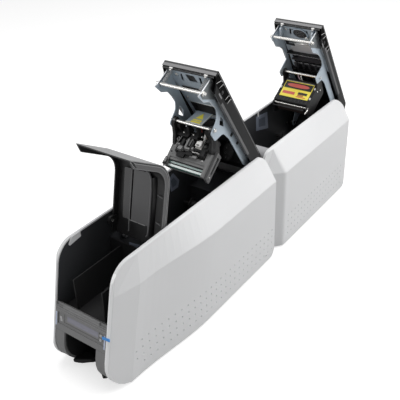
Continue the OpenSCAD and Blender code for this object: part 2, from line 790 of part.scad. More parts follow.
module ribbon_supply_spindle() {
    color([0.2, 0.2, 0.21]) framed() spindle(supply_y, ribbon_z);
}
module ribbon_takeup_spindle() {
    color([0.2, 0.2, 0.21]) framed() spindle(takeup_y, ribbon_z);
}
module motor_body(y) {
    motor_l = 34;
    block([wall_in - motor_l, wall_in], [y - motor_side / 2, y + motor_side / 2],
        [motor_z - motor_side / 2, motor_z + motor_side / 2]);
    rod(wall_in - overrun, wall_out, y, motor_z, motor_boss_r - fit_gap);
}
motor_shaft_r = 2.5;
module motor_case(y) {
    difference() {
        motor_body(y);
        rod(wall_in - 2 * motor_boss_r, wall_out + overrun, y, motor_z, motor_shaft_r + running_gap);
    }
}
module pinion(y) {
    rod(wall_in - motor_boss_r, gear_x + gear_w, y, motor_z, motor_shaft_r);
    gear(y, motor_z, pinion_teeth, 90 + 180 / pinion_teeth);
}
module drive_motors() {
    color([0.25, 0.25, 0.27]) framed() {
        motor_case(platen_y);
        motor_case(press_y);
    }
}
module printer_pinion() {
    color([0.78, 0.7, 0.45]) framed() pinion(platen_y);
}

// Steel strikers that hold the lids' latch shafts
striker_x = 44.5;
striker_t = 2;
striker_half_l = 9;
striker_foot = 24;
striker_foot_t = 3;
striker_rise = 8;
latch_room = 1;
latch_run = 246.5;
latch_depth = 41;
latch_r = 2.6;
latch_travel = 3;
module striker(y, z) {
    difference() {
        union() {
            block_pair([striker_x, wall_in], [y - striker_half_l, y + striker_half_l], [z - striker_foot,
                z - striker_foot + striker_foot_t]);
            block_pair([striker_x, striker_x + striker_t], [y - striker_half_l, y + striker_half_l],
                [z - striker_foot, z + striker_rise]);
        }
        block([-wall_in, wall_in], [y - latch_r - latch_room, y + latch_r + latch_travel + latch_room],
            [z - latch_r - latch_room, z + cover_h]);
    }
}
module lid_strikers() {
    color(steel_grey) framed() {
        striker(printer_hinge_y - latch_run, printer_hinge_z + printer_lid_drop - latch_depth);
        striker(laminator_hinge_y - laminator_latch_run,
            laminator_hinge_z + laminator_lid_drop - latch_depth);
    }
}
laminator_latch_run = 250;

// Front cover: a panel and a lip that meet in a large curve
front_overhang = 3.5;
front_corner_y = -front_hinge_run - front_overhang;
lip_drop = 99;
front_tail = 24;
front_flange_d = 12;
lip_flange_d = 11.5;
front_corner_r = 42;
lip_edge_r = 0.6;
front_tail_r = 1.5;
lip_end_set = 2;
flange_end_set = 10;
front_ear_r = 7.5;
// The cover's lip leans a little further out than the front, as a grip
lip_flare = 2.5;
function lip_y(z, d) = front_corner_y + (z - front_cover_drop) * tan(front_lean + lip_flare)
    + d / cos(front_lean + lip_flare);
function front_cover_band(panel_d, lip_d, cut) = round_off([
    [lip_y(front_cover_drop - lip_drop, 0), front_cover_drop - lip_drop, lip_edge_r],
    [lip_y(front_cover_drop - lip_drop + cut, lip_d), front_cover_drop - lip_drop + cut, 0],
    [lip_y(front_cover_drop - panel_d, lip_d), front_cover_drop - panel_d,
        front_corner_r - (panel_d + lip_d) / 2],
    [front_tail, front_cover_drop - panel_d, 0],
    [front_tail, front_cover_drop, front_tail_r],
    [front_corner_y, front_cover_drop, front_corner_r]]);
front_dark = [0.22, 0.22, 0.23];
pad_w = 38;
pad_x = -2;
pad_low = 8;
pad_high = 86;
pad_h = 6;
pad_groove_x = 5;
pad_groove_w = 2.5;
module front_cover_pad() {
    difference() {
        block([pad_x - pad_w / 2, pad_x + pad_w / 2], [-pad_high, -pad_low],
            [front_cover_drop - lid_wall - pad_h, front_cover_drop - lid_wall / 2]);
        block([pad_x - pad_w / 2 + pad_groove_x, pad_x - pad_w / 2 + pad_groove_x + pad_groove_w],
            [-pad_high - overrun, -pad_low + overrun],
            [front_cover_drop - lid_wall - pad_h - overrun, front_cover_drop - lid_wall - pad_h / 2]);
    }
}
module front_cover() {
    color(front_dark) framed() on_front_cover() difference() {
        union() {
            side_prism(-front_half_w, front_half_w, front_cover_band(lid_wall, lid_wall,
                lip_end_set));
            pair_prism(front_half_w - lid_wall, front_half_w, front_cover_band(front_flange_d,
                lip_flange_d, flange_end_set));
            rod_pair(front_half_w - 2 * lid_wall, front_half_w, 0, 0, front_ear_r);
            block_pair([front_half_w - 2 * lid_wall, front_half_w], [-front_ear_r, front_ear_r], [0,
                front_cover_drop - lid_wall / 2]);
            front_cover_pad();
        }
        rod(-wall_out, wall_out, 0, 0, front_pin_r + running_gap);
    }
}
// Lid shells, each a shallow tray with ears at its hinge line
post_r = 4;
post_run = 22;
post_x = 30;
frame_drop = 11;
function flange_outline(l, drop, rear_d, flange_d) = round_off([
    [-l, drop - lid_nose_d, lid_edge_r], [-l + base_edge, drop - lid_nose_d, lid_bend_r],
    [-l + 2.2 * base_edge, drop - flange_d, lid_bend_r],
    [-4.5 * base_edge, drop - flange_d, lid_flank_r], [-ear_r, 0, 0], [ear_r, 0, 0],
    [lid_tail + lid_slope_run, drop - rear_d, 0],
    [lid_tail + lid_slope_run, drop - lid_slope_drop, lid_bend_r],
    [lid_tail, drop, lid_tail_r], [-l, drop, lid_free_r]]);
module lid_shell(l, drop, rear_d, flange_d) {
    // posts carry the frame
    difference() {
        union() {
            difference() {
                union() {
                    side_prism(-lid_half_w, lid_half_w, flange_outline(l, drop, rear_d, flange_d));
                    rod_pair(lid_half_w - 2 * lid_wall, lid_half_w, 0, 0, ear_r);
                }
                side_prism(-lid_half_w + lid_wall, lid_half_w - lid_wall, round_off([
                    [-l + lid_wall, -2 * drop, 0], [lid_tail + lid_slope_run - lid_wall, -2 * drop, 0],
                    [lid_tail + lid_slope_run - lid_wall, drop - lid_slope_drop - lid_wall / 2, lid_inner_r],
                    [lid_tail - lid_wall / 2, drop - lid_wall, lid_bend_r],
                    [-l + lid_wall, drop - lid_wall, lid_edge_r]]));
            }
            for (y = [-l + post_run, -l / 2 - post_run])
                for (x = [-post_x, post_x])
                    translate([x, y, drop - frame_drop]) cylinder(h = frame_drop - lid_wall / 2,
                        r = post_r);
        }
        rod(-wall_out, wall_out, 0, 0, hinge_pin_r + running_gap);
    }
}
lid_dark = [0.2, 0.2, 0.21];
module printer_lid_shell() {
    color(lid_dark) framed() on_printer_lid()
        lid_shell(printer_lid_l, printer_lid_drop, printer_rear_d, printer_flange_d);
}
module laminator_lid_shell() {
    color(lid_dark) framed() on_laminator_lid()
        lid_shell(laminator_lid_l, laminator_lid_drop, laminator_rear_d, laminator_flange_d);
}

// Folded steel frames inside the lids
plate_x = 41;
printer_plate_low = -36.5;
laminator_plate_low = 13;
strip_low = 39;
strip_top = 22;
strip_rise = 7;
strip_start = 34;
strip_r = 20;
plate_bend_r = 6;
plate_tail_r = 4;
plate_shares = [
    [-0.975, -0.16, 0.03], [-0.985, -0.66, 0.03], [-0.993, -0.78, 0.02], [-0.915, -0.71, 0.10],
    [-0.865, -0.55, 0.25], [-0.760, -0.48, 0.30], [-0.700, -0.62, 0.25], [-0.675, -1.0, 0.06],
    [-0.595, -1.0, 0.06], [-0.560, -0.66, 0.20]];
heater_plate_shares = [
    [-0.975, -0.16, 0.03], [-0.985, -0.58, 0.03], [-0.985, -0.70, 0.02], [-0.865, -0.66, 0.08],
    [-0.820, -0.52, 0.12], [-0.755, -0.41, 0.25], [-0.680, -0.385, 0.25], [-0.635, -0.42, 0.05],
    [-0.635, -0.93, 0.06], [-0.570, -0.93, 0.06], [-0.535, -0.66, 0.20]];
function plate_outline(l, drop, low, shares) = round_off(concat(
    [for (s = shares) [s[0] * l, drop + s[1] * (drop - low), s[2] * (drop - low)]],
    [[-0.465 * l, drop - strip_low, strip_r], [-strip_start, drop - strip_low, plate_bend_r], [-ear_r, 0, 0],
        [ear_r, 0, 0], [ear_r / 2, drop - strip_top, plate_tail_r], [-0.47 * l, drop - strip_top, strip_r],
        [-0.80 * l, drop - strip_top + strip_rise, strip_r]]));
diamond_set = 6.5;
diamond_skew = 2;
diamond_tilt = 4;
diamond_half_l = 12;
diamond_half_h = 6.5;
diamond_depth = 36;
module frame_plates(l, drop, low, shares, latch_l) {
    difference() {
        union() {
            pair_prism(plate_x, plate_x + sheet_t, plate_outline(l, drop, low, shares));
            rod_pair(plate_x, plate_x + sheet_t, 0, 0, ear_r);
        }
        // slots for the latch shaft
        rod(-wall_in, wall_in, -latch_l, drop - latch_depth, latch_r + running_gap);
        rod(-wall_in, wall_in, -latch_l + latch_travel, drop - latch_depth, latch_r + running_gap);
        block([-wall_in, wall_in], [-latch_l, -latch_l + latch_travel],
            [drop - latch_depth - latch_r - running_gap, drop - latch_depth + latch_r + running_gap]);
        rod(-wall_in, wall_in, 0, 0, hinge_pin_r + running_gap);
        // bores for the shaft that carries the head or the heater
        children();
    }
}
back_plate_l_share = 0.52;
carrier_z = -26.5;
heater_z = 31.5;
window_run = 150;
window_half_l = 15;
window_rim = 5;
eye_left = 10;
eye_right = 7;
eye_skew = 2.5;
slit_left = 20;
slit_right = 17;
slit_lean = 12;
slit_half_w = 2;
slit_half_l = 9;
module back_plate(l, drop) {
    top = drop - frame_drop;
    difference() {
        block([-plate_x - sheet_t, plate_x + sheet_t], [-0.975 * l, -(1 - back_plate_l_share) * l],
            [top - sheet_t, top]);
        block([-plate_x + window_rim, plate_x - window_rim],
            [-window_run - window_half_l, -window_run + window_half_l],
            [top - 2 * sheet_t, top + overrun]);
        translate([0, 0, top - 2 * sheet_t]) linear_extrude(3 * sheet_t) polygon([
            [-eye_left, -0.96 * l], [eye_right, -0.96 * l], [eye_right + eye_skew, -0.89 * l],
            [eye_skew - eye_left, -0.89 * l]]);
        for (x = [-slit_left, slit_right])
            translate([x, -0.92 * l, top - 2 * sheet_t]) rotate([0, 0, slit_lean])
                block([-slit_half_w, slit_half_w], [-slit_half_l, slit_half_l], [0, 3 * sheet_t]);
    }
}
carrier_set = 49.5;
carrier_run = head_run + carrier_set;
carrier_depth = printer_lid_drop - carrier_z;
carrier_shaft_r = 2.5;
heater_set = 32;
heater_run = heat_run + heater_set;
heater_depth = laminator_lid_drop - heater_z;
zinc = [0.66, 0.71, 0.76];
// Diamond opening in each plate of the printer lid's frame
module frame_diamond() {
    run = carrier_run - diamond_set;
    side_prism(-wall_in, wall_in, [
        [-run - diamond_half_l, printer_lid_drop - diamond_depth + diamond_tilt],
        [-run - diamond_skew, printer_lid_drop - diamond_depth - diamond_half_h],
        [-run + diamond_half_l, printer_lid_drop - diamond_depth],
        [-run + diamond_skew, printer_lid_drop - diamond_depth + diamond_half_h]]);
}
module printer_lid_frame() {
    color(zinc) framed() on_printer_lid() {
        frame_plates(printer_lid_l, printer_lid_drop, printer_plate_low, plate_shares, latch_run) {
            rod(-wall_in, wall_in, -carrier_run, printer_lid_drop - carrier_depth,
                carrier_shaft_r + running_gap);
            frame_diamond();
        }
        back_plate(printer_lid_l, printer_lid_drop);
    }
}
module laminator_lid_frame() {
    color(zinc) framed() on_laminator_lid() {
        frame_plates(laminator_lid_l, laminator_lid_drop, laminator_plate_low, heater_plate_shares,
            laminator_latch_run)
            rod(-wall_in, wall_in, -heater_run, laminator_lid_drop - heater_depth,
                carrier_shaft_r + running_gap);
        back_plate(laminator_lid_l, laminator_lid_drop);
    }
}
pin_inset = 1;
module hinge_pins() {
    color(steel_grey) framed() {
        rod_pair(front_half_w - 2 * lid_wall - pin_inset, wall_out, front_hinge_y, front_hinge_z,
            front_pin_r);
        rod_pair(plate_x - pin_inset, wall_out, printer_hinge_y, printer_hinge_z, hinge_pin_r);
        rod_pair(plate_x - pin_inset, wall_out, laminator_hinge_y, laminator_hinge_z, hinge_pin_r);
    }
}
latch_half_l = 48;
clip_r = 4.2;
clip_t = 1;
module latch_shaft(run, drop) {
    rod(-latch_half_l, latch_half_l, -run, drop - latch_depth, latch_r);
    rod_pair(plate_x + sheet_t + 2 * fit_gap, plate_x + sheet_t + 2 * fit_gap + clip_t, -run,
        drop - latch_depth, clip_r);
}
module printer_latch_shaft() {
    color([0.8, 0.8, 0.8]) framed() on_printer_lid() latch_shaft(latch_run, printer_lid_drop);
}
module laminator_latch_shaft() {
    color([0.8, 0.8, 0.8]) framed() on_laminator_lid() latch_shaft(laminator_latch_run, laminator_lid_drop);
}

// Coil springs between the back plates and the latch shafts
spring_turns = 8;
spring_r = 3.4;
spring_wire_r = 0.55;
spring_x = 36;
spring_rings = 8;
wire_sides = 6;
spring_run = frame_drop + sheet_t;
function spring_length() = latch_depth - latch_r - spring_run - 2 * fit_gap;
function coil_point(t, l) = [spring_r * cos(360 * t * spring_turns), spring_r * sin(360 * t * spring_turns),
    -spring_wire_r - t * (l - 2 * spring_wire_r)];
function coil(l) = [for (i = [0 : spring_turns * spring_rings])
    coil_point(i / (spring_turns * spring_rings), l)];
function ring(p, along, r, n) =
    let (u = unit(cross(along, [0.03, 0.02, 1])))
    let (w = cross(u, unit(along)))
    [for (k = [0 : n - 1]) p + r * (cos(360 * k / n) * u + sin(360 * k / n) * w)];
module tube(path, r, n) {
    last = len(path) - 1;
    points = [for (i = [0 : last]) each ring(path[i], path[min(i + 1, last)] - path[max(i - 1, 0)], r, n)];
    polyhedron(points, concat(
        [[for (k = [0 : n - 1]) n - 1 - k]],
        [for (i = [0 : last - 1]) for (k = [0 : n - 1]) each [
            [i * n + k, i * n + (k + 1) % n, (i + 1) * n + k],
            [i * n + (k + 1) % n, (i + 1) * n + (k + 1) % n, (i + 1) * n + k]]],
        [[for (k = [0 : n - 1]) last * n + k]]));
}
spring_path = coil(spring_length());
spring_least_gap = min([for (i = [0 : spring_rings * (spring_turns - 1)])
    norm(spring_path[i + spring_rings] - spring_path[i])]) - 2 * spring_wire_r;
echo(spring_least_gap = spring_least_gap);
module latch_springs(run, drop) {
    for (x = [-spring_x, spring_x])
        translate([x, -run, drop - spring_run - fit_gap]) tube(spring_path, spring_wire_r, wire_sides);
}
module printer_latch_springs() {
    color([0.7, 0.7, 0.7]) framed() on_printer_lid() latch_springs(latch_run, printer_lid_drop);
}

// Print head carriage, hung on its shaft by two arms
carriage_half_w = 40;
carriage_ahead = 19;
carriage_behind = 13;
carriage_front = head_run + carriage_ahead;
carriage_rear = head_run - carriage_behind;
head_set = 4;
carriage_h = 53;
carriage_low = printer_hinge_z - path_z + head_set;
carriage_top = carriage_low - carriage_h;
carriage_lean = 9;
carriage_heel = 7;
carriage_back_lean = 4;
cavity_left = 12;
cavity_right = 8;
cavity_floor = 27;
cavity_back = 12;
arm_t = 5;
arm_eye = 5;
arm_neck = 6;
arm_drop = 12;
module carrier_shaft(run, depth, drop) {
    rod(-plate_x - 3 * sheet_t, plate_x + 3 * sheet_t, -run, drop - depth, carrier_shaft_r);
}
module head_shaft() {
    color([0.82, 0.82, 0.8]) framed() on_printer_lid() carrier_shaft(carrier_run, carrier_depth,
        printer_lid_drop);
}
bracket_x = -18;
bracket_w = 22;
bracket_wall = 3;
bracket_lead = 2;
bracket_back = 11;
bracket_low = 16;
bracket_top = 8;
module head_bracket() {
    difference() {
        block([bracket_x - bracket_w / 2, bracket_x + bracket_w / 2], [-carriage_front - bracket_lead,
            -carriage_rear - bracket_back],
            [-carriage_top - bracket_low, -carriage_top + bracket_top]);
        block([bracket_x - bracket_w / 2 + bracket_wall, bracket_x + bracket_w / 2 - bracket_wall],
            [-carriage_front - bracket_lead - overrun, -carriage_rear],
            [-carriage_top - bracket_low + bracket_wall, -carriage_top + bracket_top - bracket_wall]);
    }
}
module head_carriage() {
    hub = printer_lid_drop - carrier_depth;
    color([0.47, 0.47, 0.48]) framed() on_printer_lid() difference() {
        union() {
            // body, open at its front
            difference() {
                side_prism(-carriage_half_w, carriage_half_w, [
                    [-carriage_front, -carriage_top], [-carriage_front + carriage_lean, -carriage_low],
                    [-carriage_rear, -carriage_low + carriage_heel],
                    [-carriage_rear - carriage_back_lean, -carriage_top]]);
                block([-carriage_half_w + cavity_left, carriage_half_w - cavity_right],
                    [-carriage_front - overrun, -carriage_rear - cavity_back],
                    [-carriage_low + cavity_floor, overrun]);
                block([-head_half_w - fit_gap, head_half_w + fit_gap], [-carriage_front - overrun,
                    -carriage_rear - head_back],
                    [-carriage_low - overrun, -head_top + fit_gap]);
            }
            // arms
            pair_prism(carriage_half_w - arm_t, carriage_half_w, [
                [-carrier_run - arm_eye, hub - arm_eye / 2], [-carrier_run, hub - arm_neck],
                [-carriage_front + arm_eye, -carriage_top - arm_drop],
                [-carriage_rear - 2 * carriage_back_lean, -carriage_top],
                [-carriage_front + arm_drop, -carriage_top + arm_neck],
                [-carrier_run + arm_eye / 2, hub + arm_neck],
                [-carrier_run - arm_eye, hub + arm_eye / 2]]);
            head_bracket();
        }
        rod(-wall_in, wall_in, -carrier_run, hub, carrier_shaft_r + running_gap);
    }
}
head_half_w = 36;
head_h = 19;
head_back = 6;
head_end_h = 5;
head_nose = 4;
head_heel = 3;
head_top = carriage_low - head_h;
module thermal_head() {
    color([0.55, 0.80, 0.77]) framed() on_printer_lid()
        side_prism(-head_half_w, head_half_w, [
            [-carriage_front + carriage_lean, -head_top],
            [-head_run - head_nose, -carriage_low + head_end_h],
            [-head_run + head_heel, -carriage_low + head_end_h],
            [-carriage_rear - head_back, -head_top - head_heel], [-carriage_rear - head_back, -head_top]]);
}
rail_w = 5;
rail_set = 8;
rail_r = 2;
rail_rim = 6;
rail_foot = 14;
module head_side_rail() {
    color([0.26, 0.26, 0.27]) framed() on_printer_lid() difference() {
        side_prism(carriage_half_w, carriage_half_w + rail_w, round_off([
            [-carriage_front + rail_set, -carriage_top - rail_r, rail_r],
            [-carriage_front + 2 * rail_set, -carriage_low, rail_r],
            [-carriage_rear - rail_r, -carriage_low, rail_r],
            [-carriage_rear - rail_set, -carriage_top - rail_r, rail_r]]));
        side_prism(carriage_half_w + rail_w / 2, carriage_half_w + rail_w + overrun, round_off([
            [-carriage_front + rail_set + rail_rim, -carriage_top - rail_rim - rail_r, rail_r / 2],
            [-carriage_front + 2 * rail_set + rail_rim / 2, -carriage_low + rail_foot, rail_r / 2],
            [-carriage_rear - rail_set, -carriage_low + rail_foot, rail_r / 2],
            [-carriage_rear - rail_set - rail_rim / 2, -carriage_top - rail_rim - rail_r, rail_r / 2]]));
    }
}
plug_w = 12;
plug_x = 12;
plug_h = 10;
plug_set = 5;
cable_r = 1.8;
cable_sides = 8;
// Route of the lead from the middle of its plug, steps in x, y and z
cable_points = [
    [0, 0, 0], [0, -0.2, 3], [0, -1, 7], [0.5, -2.5, 11], [1.5, -5, 15], [3, -9, 18.5],
    [5, -14, 21], [7, -19, 22.5], [9, -24, 23]];
plug_y = carriage_front - 1.4 * plug_set;
plug_cable_z = -carriage_top - 1.6 * plug_set;
module head_cable() {
    color([0.92, 0.92, 0.9]) framed() on_printer_lid() {
        tube([for (p = cable_points) [plug_x, -plug_y, plug_cable_z] + p], cable_r, cable_sides);
        block([plug_x - plug_w / 2, plug_x + plug_w / 2], [-carriage_front - overrun,
            -carriage_rear - cavity_back],
            [-carriage_top - plug_set - plug_h, -carriage_top - plug_set]);
    }
}
guard_w = 32;
guard_x = -1;
// How far the guard plate's upper edge stands over the lid's hinge line
guard_rise = 9;
guard_t = 1.6;
guard_slant = 13;
module head_guard_plate() {
    hub = printer_lid_drop - carrier_depth;
    color([0.5, 0.55, 0.62]) framed() on_printer_lid()
        side_prism(guard_x - guard_w / 2, guard_x + guard_w / 2, [
            [-carrier_run - guard_t / 2, hub + carrier_shaft_r + fit_gap],
            [-carrier_run + guard_t / 2, hub + carrier_shaft_r + fit_gap],
            [-carrier_run + guard_slant + guard_t, guard_rise], [-carrier_run + guard_slant, guard_rise]]);
}

// Laminator body
laminator_shafts = [
    [intake_y, shaft_z], [press_y, shaft_z], [outlet_y, shaft_z],
    [film_supply_y, film_z], [film_takeup_y, film_takeup_z]];
laminator_front_set = 7;
press_cut_rim = 6;
press_cut_half_l = 22;
laminator_front_y = laminator_y + laminator_front_set;
inlet_x = -22;
inlet_z = 48;
inlet_w = 27;
inlet_h = 20;
inlet_d = 17;
module laminator_chassis() {
    back = rear_y - tub_inset;
    color(chassis_black) framed() difference() {
        union() {
            tub_walls(laminator_side, laminator_plan, 0);
            block([-wall_in, wall_in], [laminator_front_y + wall_t + fit_gap, back - rear_foot_r / 2],
                [floor_z, floor_z + floor_t]);
            block([-wall_in, wall_in], [back - wall_t, back], [floor_z + rear_foot_r, rear_panel_top]);
            side_prism(-wall_in, wall_in, [
                [back - rear_foot_r / 2 - overrun, floor_z], [back - rear_foot_r / 2, floor_z],
                [back, floor_z + rear_foot_r / 2], [back, floor_z + rear_foot_r + overrun],
                [back - wall_t, floor_z + rear_foot_r + overrun], [back - wall_t,
                    floor_z + rear_foot_r / 2 + wall_t / 2],
                [back - rear_foot_r / 2 - wall_t / 2, floor_z + floor_t],
                    [back - rear_foot_r / 2 - overrun, floor_z + floor_t]]);
            deck(laminator_front_y + wall_t + fit_gap, back - wall_t / 2, [
                [intake_y, deck_cut_x, transport_r + deck_cut],
                [press_y, bay_x - press_cut_rim, press_cut_half_l],
                [outlet_y, deck_cut_x, transport_r + deck_cut]]);
        }
        shaft_holes(laminator_shafts, bearing_r);
        shaft_holes([[laminator_hinge_y, laminator_hinge_z]], hinge_pin_r + running_gap);
        rod(wall_in - overrun, wall_out + overrun, press_y, motor_z, motor_boss_r);
        block([inlet_x - inlet_w / 2, inlet_x + inlet_w / 2], [back - 2 * wall_t, back + overrun],
            [inlet_z - inlet_h / 2, inlet_z + inlet_h / 2]);
        block([-slot_half_w, slot_half_w], [back - 2 * wall_t, back + overrun], [path_z - slot_half_h,
            path_z + slot_half_h]);
    }
}
deck_step = 13;
collar_wall = 5;
deck_top_set = 3;
deck_lid_gap = 5;
deck_front_r = 16;
deck_step_r = 6;
deck_lip_d = 10;
deck_lip_h = 12;
module laminator_front_deck() {
    top = cover_h - deck_top_set;
    back = laminator_hinge_y - laminator_lid_l - deck_lid_gap;
    color(bezel_grey) framed() difference() {
        union() {
            side_prism(-bay_x, bay_x, round_off([
                [laminator_front_y, floor_z, 0], [laminator_front_y + wall_t, floor_z, 0],
                [laminator_front_y + wall_t, top - wall_t, deck_front_r - wall_t],
                [back - deck_step, top - wall_t, deck_step_r - wall_t],
                [back - wall_t, top - deck_lip_d - wall_t, 0],
                [back - wall_t, top - deck_lip_d - deck_lip_h, 0], [back, top - deck_lip_d - deck_lip_h, 0],
                [back, top - deck_lip_d, lid_edge_r], [back - deck_step, top, deck_step_r],
                [laminator_front_y, top, deck_front_r]]));
            block([-slot_half_w - collar_wall, slot_half_w + collar_wall], [printer_l - tub_inset,
                laminator_front_y + overrun],
                [path_z - slot_half_h - collar_wall, path_z + slot_half_h + collar_wall]);
        }
        block([-slot_half_w, slot_half_w], [printer_l - 2 * tub_inset, laminator_front_y + 2 * wall_t],
            [path_z - slot_half_h, path_z + slot_half_h]);
    }
}
inlet_wall = 1.6;
blade_l = 8;
blade_pitch = 7;
blade_half_w = 1;
blade_half_h = 2;
module socket_shell(x, z, w, h, d, wall) {
    y = rear_y - tub_inset;
    difference() {
        block([x - w / 2, x + w / 2], [y - d, y], [z - h / 2, z + h / 2]);
        block([x - w / 2 + wall, x + w / 2 - wall], [y - d + 2 * wall, y + overrun], [z - h / 2 + wall,
            z + h / 2 - wall]);
    }
}
module power_inlet() {
    y = rear_y - tub_inset - inlet_d + 2 * inlet_wall;
    color([0.08, 0.08, 0.08]) framed() {
        socket_shell(inlet_x, inlet_z, inlet_w, inlet_h, inlet_d, inlet_wall);
        for (i = [-1 : 1])
            block([inlet_x + i * blade_pitch - blade_half_w, inlet_x + i * blade_pitch + blade_half_w],
                [y - inlet_wall, y + blade_l], [inlet_z - blade_half_h, inlet_z + blade_half_h]);
    }
}
module intake_roller() {
    color(rubber_black) framed() driven_roller(intake_y, shaft_z, transport_r, roller_l / 2);
}
module pressure_roller() {
    color([0.55, 0.2, 0.16]) framed() {
        driven_roller(press_y, shaft_z, transport_r, roller_l / 2);
        rod(pulley_x, gear_x + gear_w, press_y, shaft_z, shaft_r);
        gear(press_y, shaft_z, gear_teeth, -90);
    }
}
module outlet_roller() {
    color(rubber_black) framed() driven_roller(outlet_y, shaft_z, transport_r, roller_l / 2);
}
module laminator_belt() {
    color([0.1, 0.1, 0.1]) framed() belt_loop(intake_y, outlet_y);
}
module film_supply_spindle() {
    color([0.2, 0.2, 0.21]) framed() spindle(film_supply_y, film_z);
}
module film_takeup_spindle() {
    color([0.2, 0.2, 0.21]) framed() spindle(film_takeup_y, film_takeup_z);
}
module laminator_pinion() {
    color([0.78, 0.7, 0.45]) framed() pinion(press_y);
}

// Heater unit, hung on its shaft in the laminator lid
heat_axis_run = heat_run;
heat_axis_z = path_z + card_t + heat_r - laminator_hinge_z;
heater_half_w = 40;
heater_ahead = 16;
heater_behind = 20;
heater_front = heat_run + heater_ahead;
heater_rear = heat_run - heater_behind;
heater_top = 27;
heater_reach = 13.3;
heater_low = heater_reach - heat_axis_z;
heater_wall = 3;
heater_skirt = 14;
heater_end_r = 3;
heater_end_rise = 4;
heater_end_set = 10;
heater_slope = 12;
heater_eye = 5;
heater_crown_r = 6;
module heater_rods() {
    color([0.82, 0.82, 0.8]) framed() on_laminator_lid() {
        carrier_shaft(heater_run, heater_depth, laminator_lid_drop);
        rod(-heater_half_w, heater_half_w, -bail_run, -bail_depth, bail_r);
    }
}
module heater_housing() {
    hub = laminator_lid_drop - heater_depth;
    color([0.1, 0.1, 0.1]) framed() on_laminator_lid() difference() {
        union() {
            difference() {
                block([-heater_half_w, heater_half_w], [-heater_front, -heater_rear],
                    [-heater_low + heater_skirt, heater_top]);
                block([-heater_half_w + heater_wall, heater_half_w - heater_wall],
                    [-heater_front + heater_wall, -heater_rear - heater_wall], [-heater_low,
                        heater_top - heater_wall]);
            }
            pair_prism(heater_half_w - heater_wall, heater_half_w, round_off([
                [-heater_front, -heater_low + heater_end_rise, heater_end_r],
                [-heater_rear - heater_end_set, -heater_low, heater_end_r],
                [-heater_rear, -heater_low + heater_slope, heater_end_r],
                [-heater_rear, heater_top + heater_end_rise, heater_crown_r],
                [-heater_run + heater_end_set, hub + heater_crown_r, heater_end_r],
                [-heater_run - heater_eye, hub + heater_eye, heater_end_r],
                [-heater_run - heater_eye, hub - heater_eye, heater_end_r],
                [-heater_front, heater_top - heater_slope, heater_end_r]]));
        }
        rod(-wall_in, wall_in, -heater_run, hub, carrier_shaft_r + running_gap);
        rod(-wall_in, wall_in, -heat_axis_run, heat_axis_z, bearing_r);
        rod(-wall_in, wall_in, -bail_run, -bail_depth, bail_r + running_gap);
    }
}
module heat_roller() {
    color([0.62, 0.3, 0.2]) framed() on_laminator_lid() {
        rod(-roller_l / 2, roller_l / 2, -heat_axis_run, heat_axis_z, heat_r);
        rod(-heater_half_w, heater_half_w, -heat_axis_run, heat_axis_z, shaft_r);
    }
}
bail_set = 3;
bail_rise = 10;
bail_run = heater_front - bail_set;
bail_depth = heater_low - bail_rise;
bail_r = 1.3;
plate_half_w = 33;
plate_low = 19;
plate_top = 20;
plate_t = 0.8;
module heater_name_plate() {
    color([0.9, 0.78, 0.2]) framed() on_laminator_lid()
        block([-plate_half_w, plate_half_w], [-heater_front - plate_t, -heater_front], [-plate_low,
            plate_top]);
}
wire_r = 1;
wire_sides_thin = 8;
// Routes of the two wires from the heater's upper front edge, steps in x, y and z
pink_points = [
    [-11, -7, 7], [-10, -6, 5], [-8.5, -4.5, 3], [-7, -2.5, 1.9], [-6, 0, 1.4], [-5.4, 3, 1.4],
    [-5, 6, 1.4]];
pale_points = [
    [-4, -7, 7], [-3.4, -6, 5], [-2.5, -4.5, 3], [-1.6, -2.5, 1.9], [-1, 0, 1.4], [-0.6, 3, 1.4],
    [-0.4, 6, 1.4]];
module heater_wires() {
    color([0.86, 0.7, 0.74]) framed() on_laminator_lid() {
        for (route = [pink_points, pale_points])
            tube([for (p = route) [0, -heater_front, heater_top] + p], wire_r, wire_sides_thin);
    }
}

// Boards and supply beside the tubs, under the left covers
side_room = half_w - cover_wall - wall_out;
board_t = 1.6;
board_gap = 0.175 * side_room;
stand_off_r = 3;
stand_off_hole_r = 1.2;
board_shares = [[0.30, 0.22], [0.72, 0.22], [0.30, 0.62], [0.72, 0.62]];
chip_shares = [
    [0.28, 0.36, 0.44, 0.30, 0.42], [0.14, 0.50, 0.58, 0.36, 0.50], [0.35, 0.62, 0.70, 0.28, 0.34]];
module main_board() {
    x = -wall_out - board_gap - board_t;
    color([0.1, 0.35, 0.2]) framed() difference() {
        union() {
            block([x, x + board_t], [0.27 * printer_l, 0.75 * printer_l], [0.18 * cover_h, 0.66 * cover_h]);
            for (p = board_shares)
                rod(x + board_t, -wall_out, p[0] * printer_l, p[1] * cover_h, stand_off_r);
            for (c = chip_shares)
                block([x - c[0] * side_room, x], [c[1] * printer_l, c[2] * printer_l],
                    [c[3] * cover_h, c[4] * cover_h]);
        }
        for (p = board_shares)
            rod(x - overrun, -wall_out + overrun, p[0] * printer_l, p[1] * cover_h,
                stand_off_hole_r);
    }
}
module power_supply() {
    color([0.6, 0.62, 0.64]) framed()
        block([-wall_out - 0.77 * side_room, -wall_out], [laminator_y + 0.3 * laminator_l,
            laminator_y + 0.8 * laminator_l],
            [0.12 * cover_h, 0.5 * cover_h]);
}
screw_r = 2.2;
screw_head_t = 1.2;
module cover_screws() {
    color([0.75, 0.7, 0.5]) framed() {
        for (p = printer_boss_shares)
            rod_pair(wall_in - screw_head_t, wall_in, p[0] * printer_l, p[1] * cover_h, screw_r);
        for (p = laminator_boss_shares)
            rod_pair(wall_in - screw_head_t, wall_in, laminator_y + p[0] * laminator_l, p[1] * cover_h,
                screw_r);
    }
}

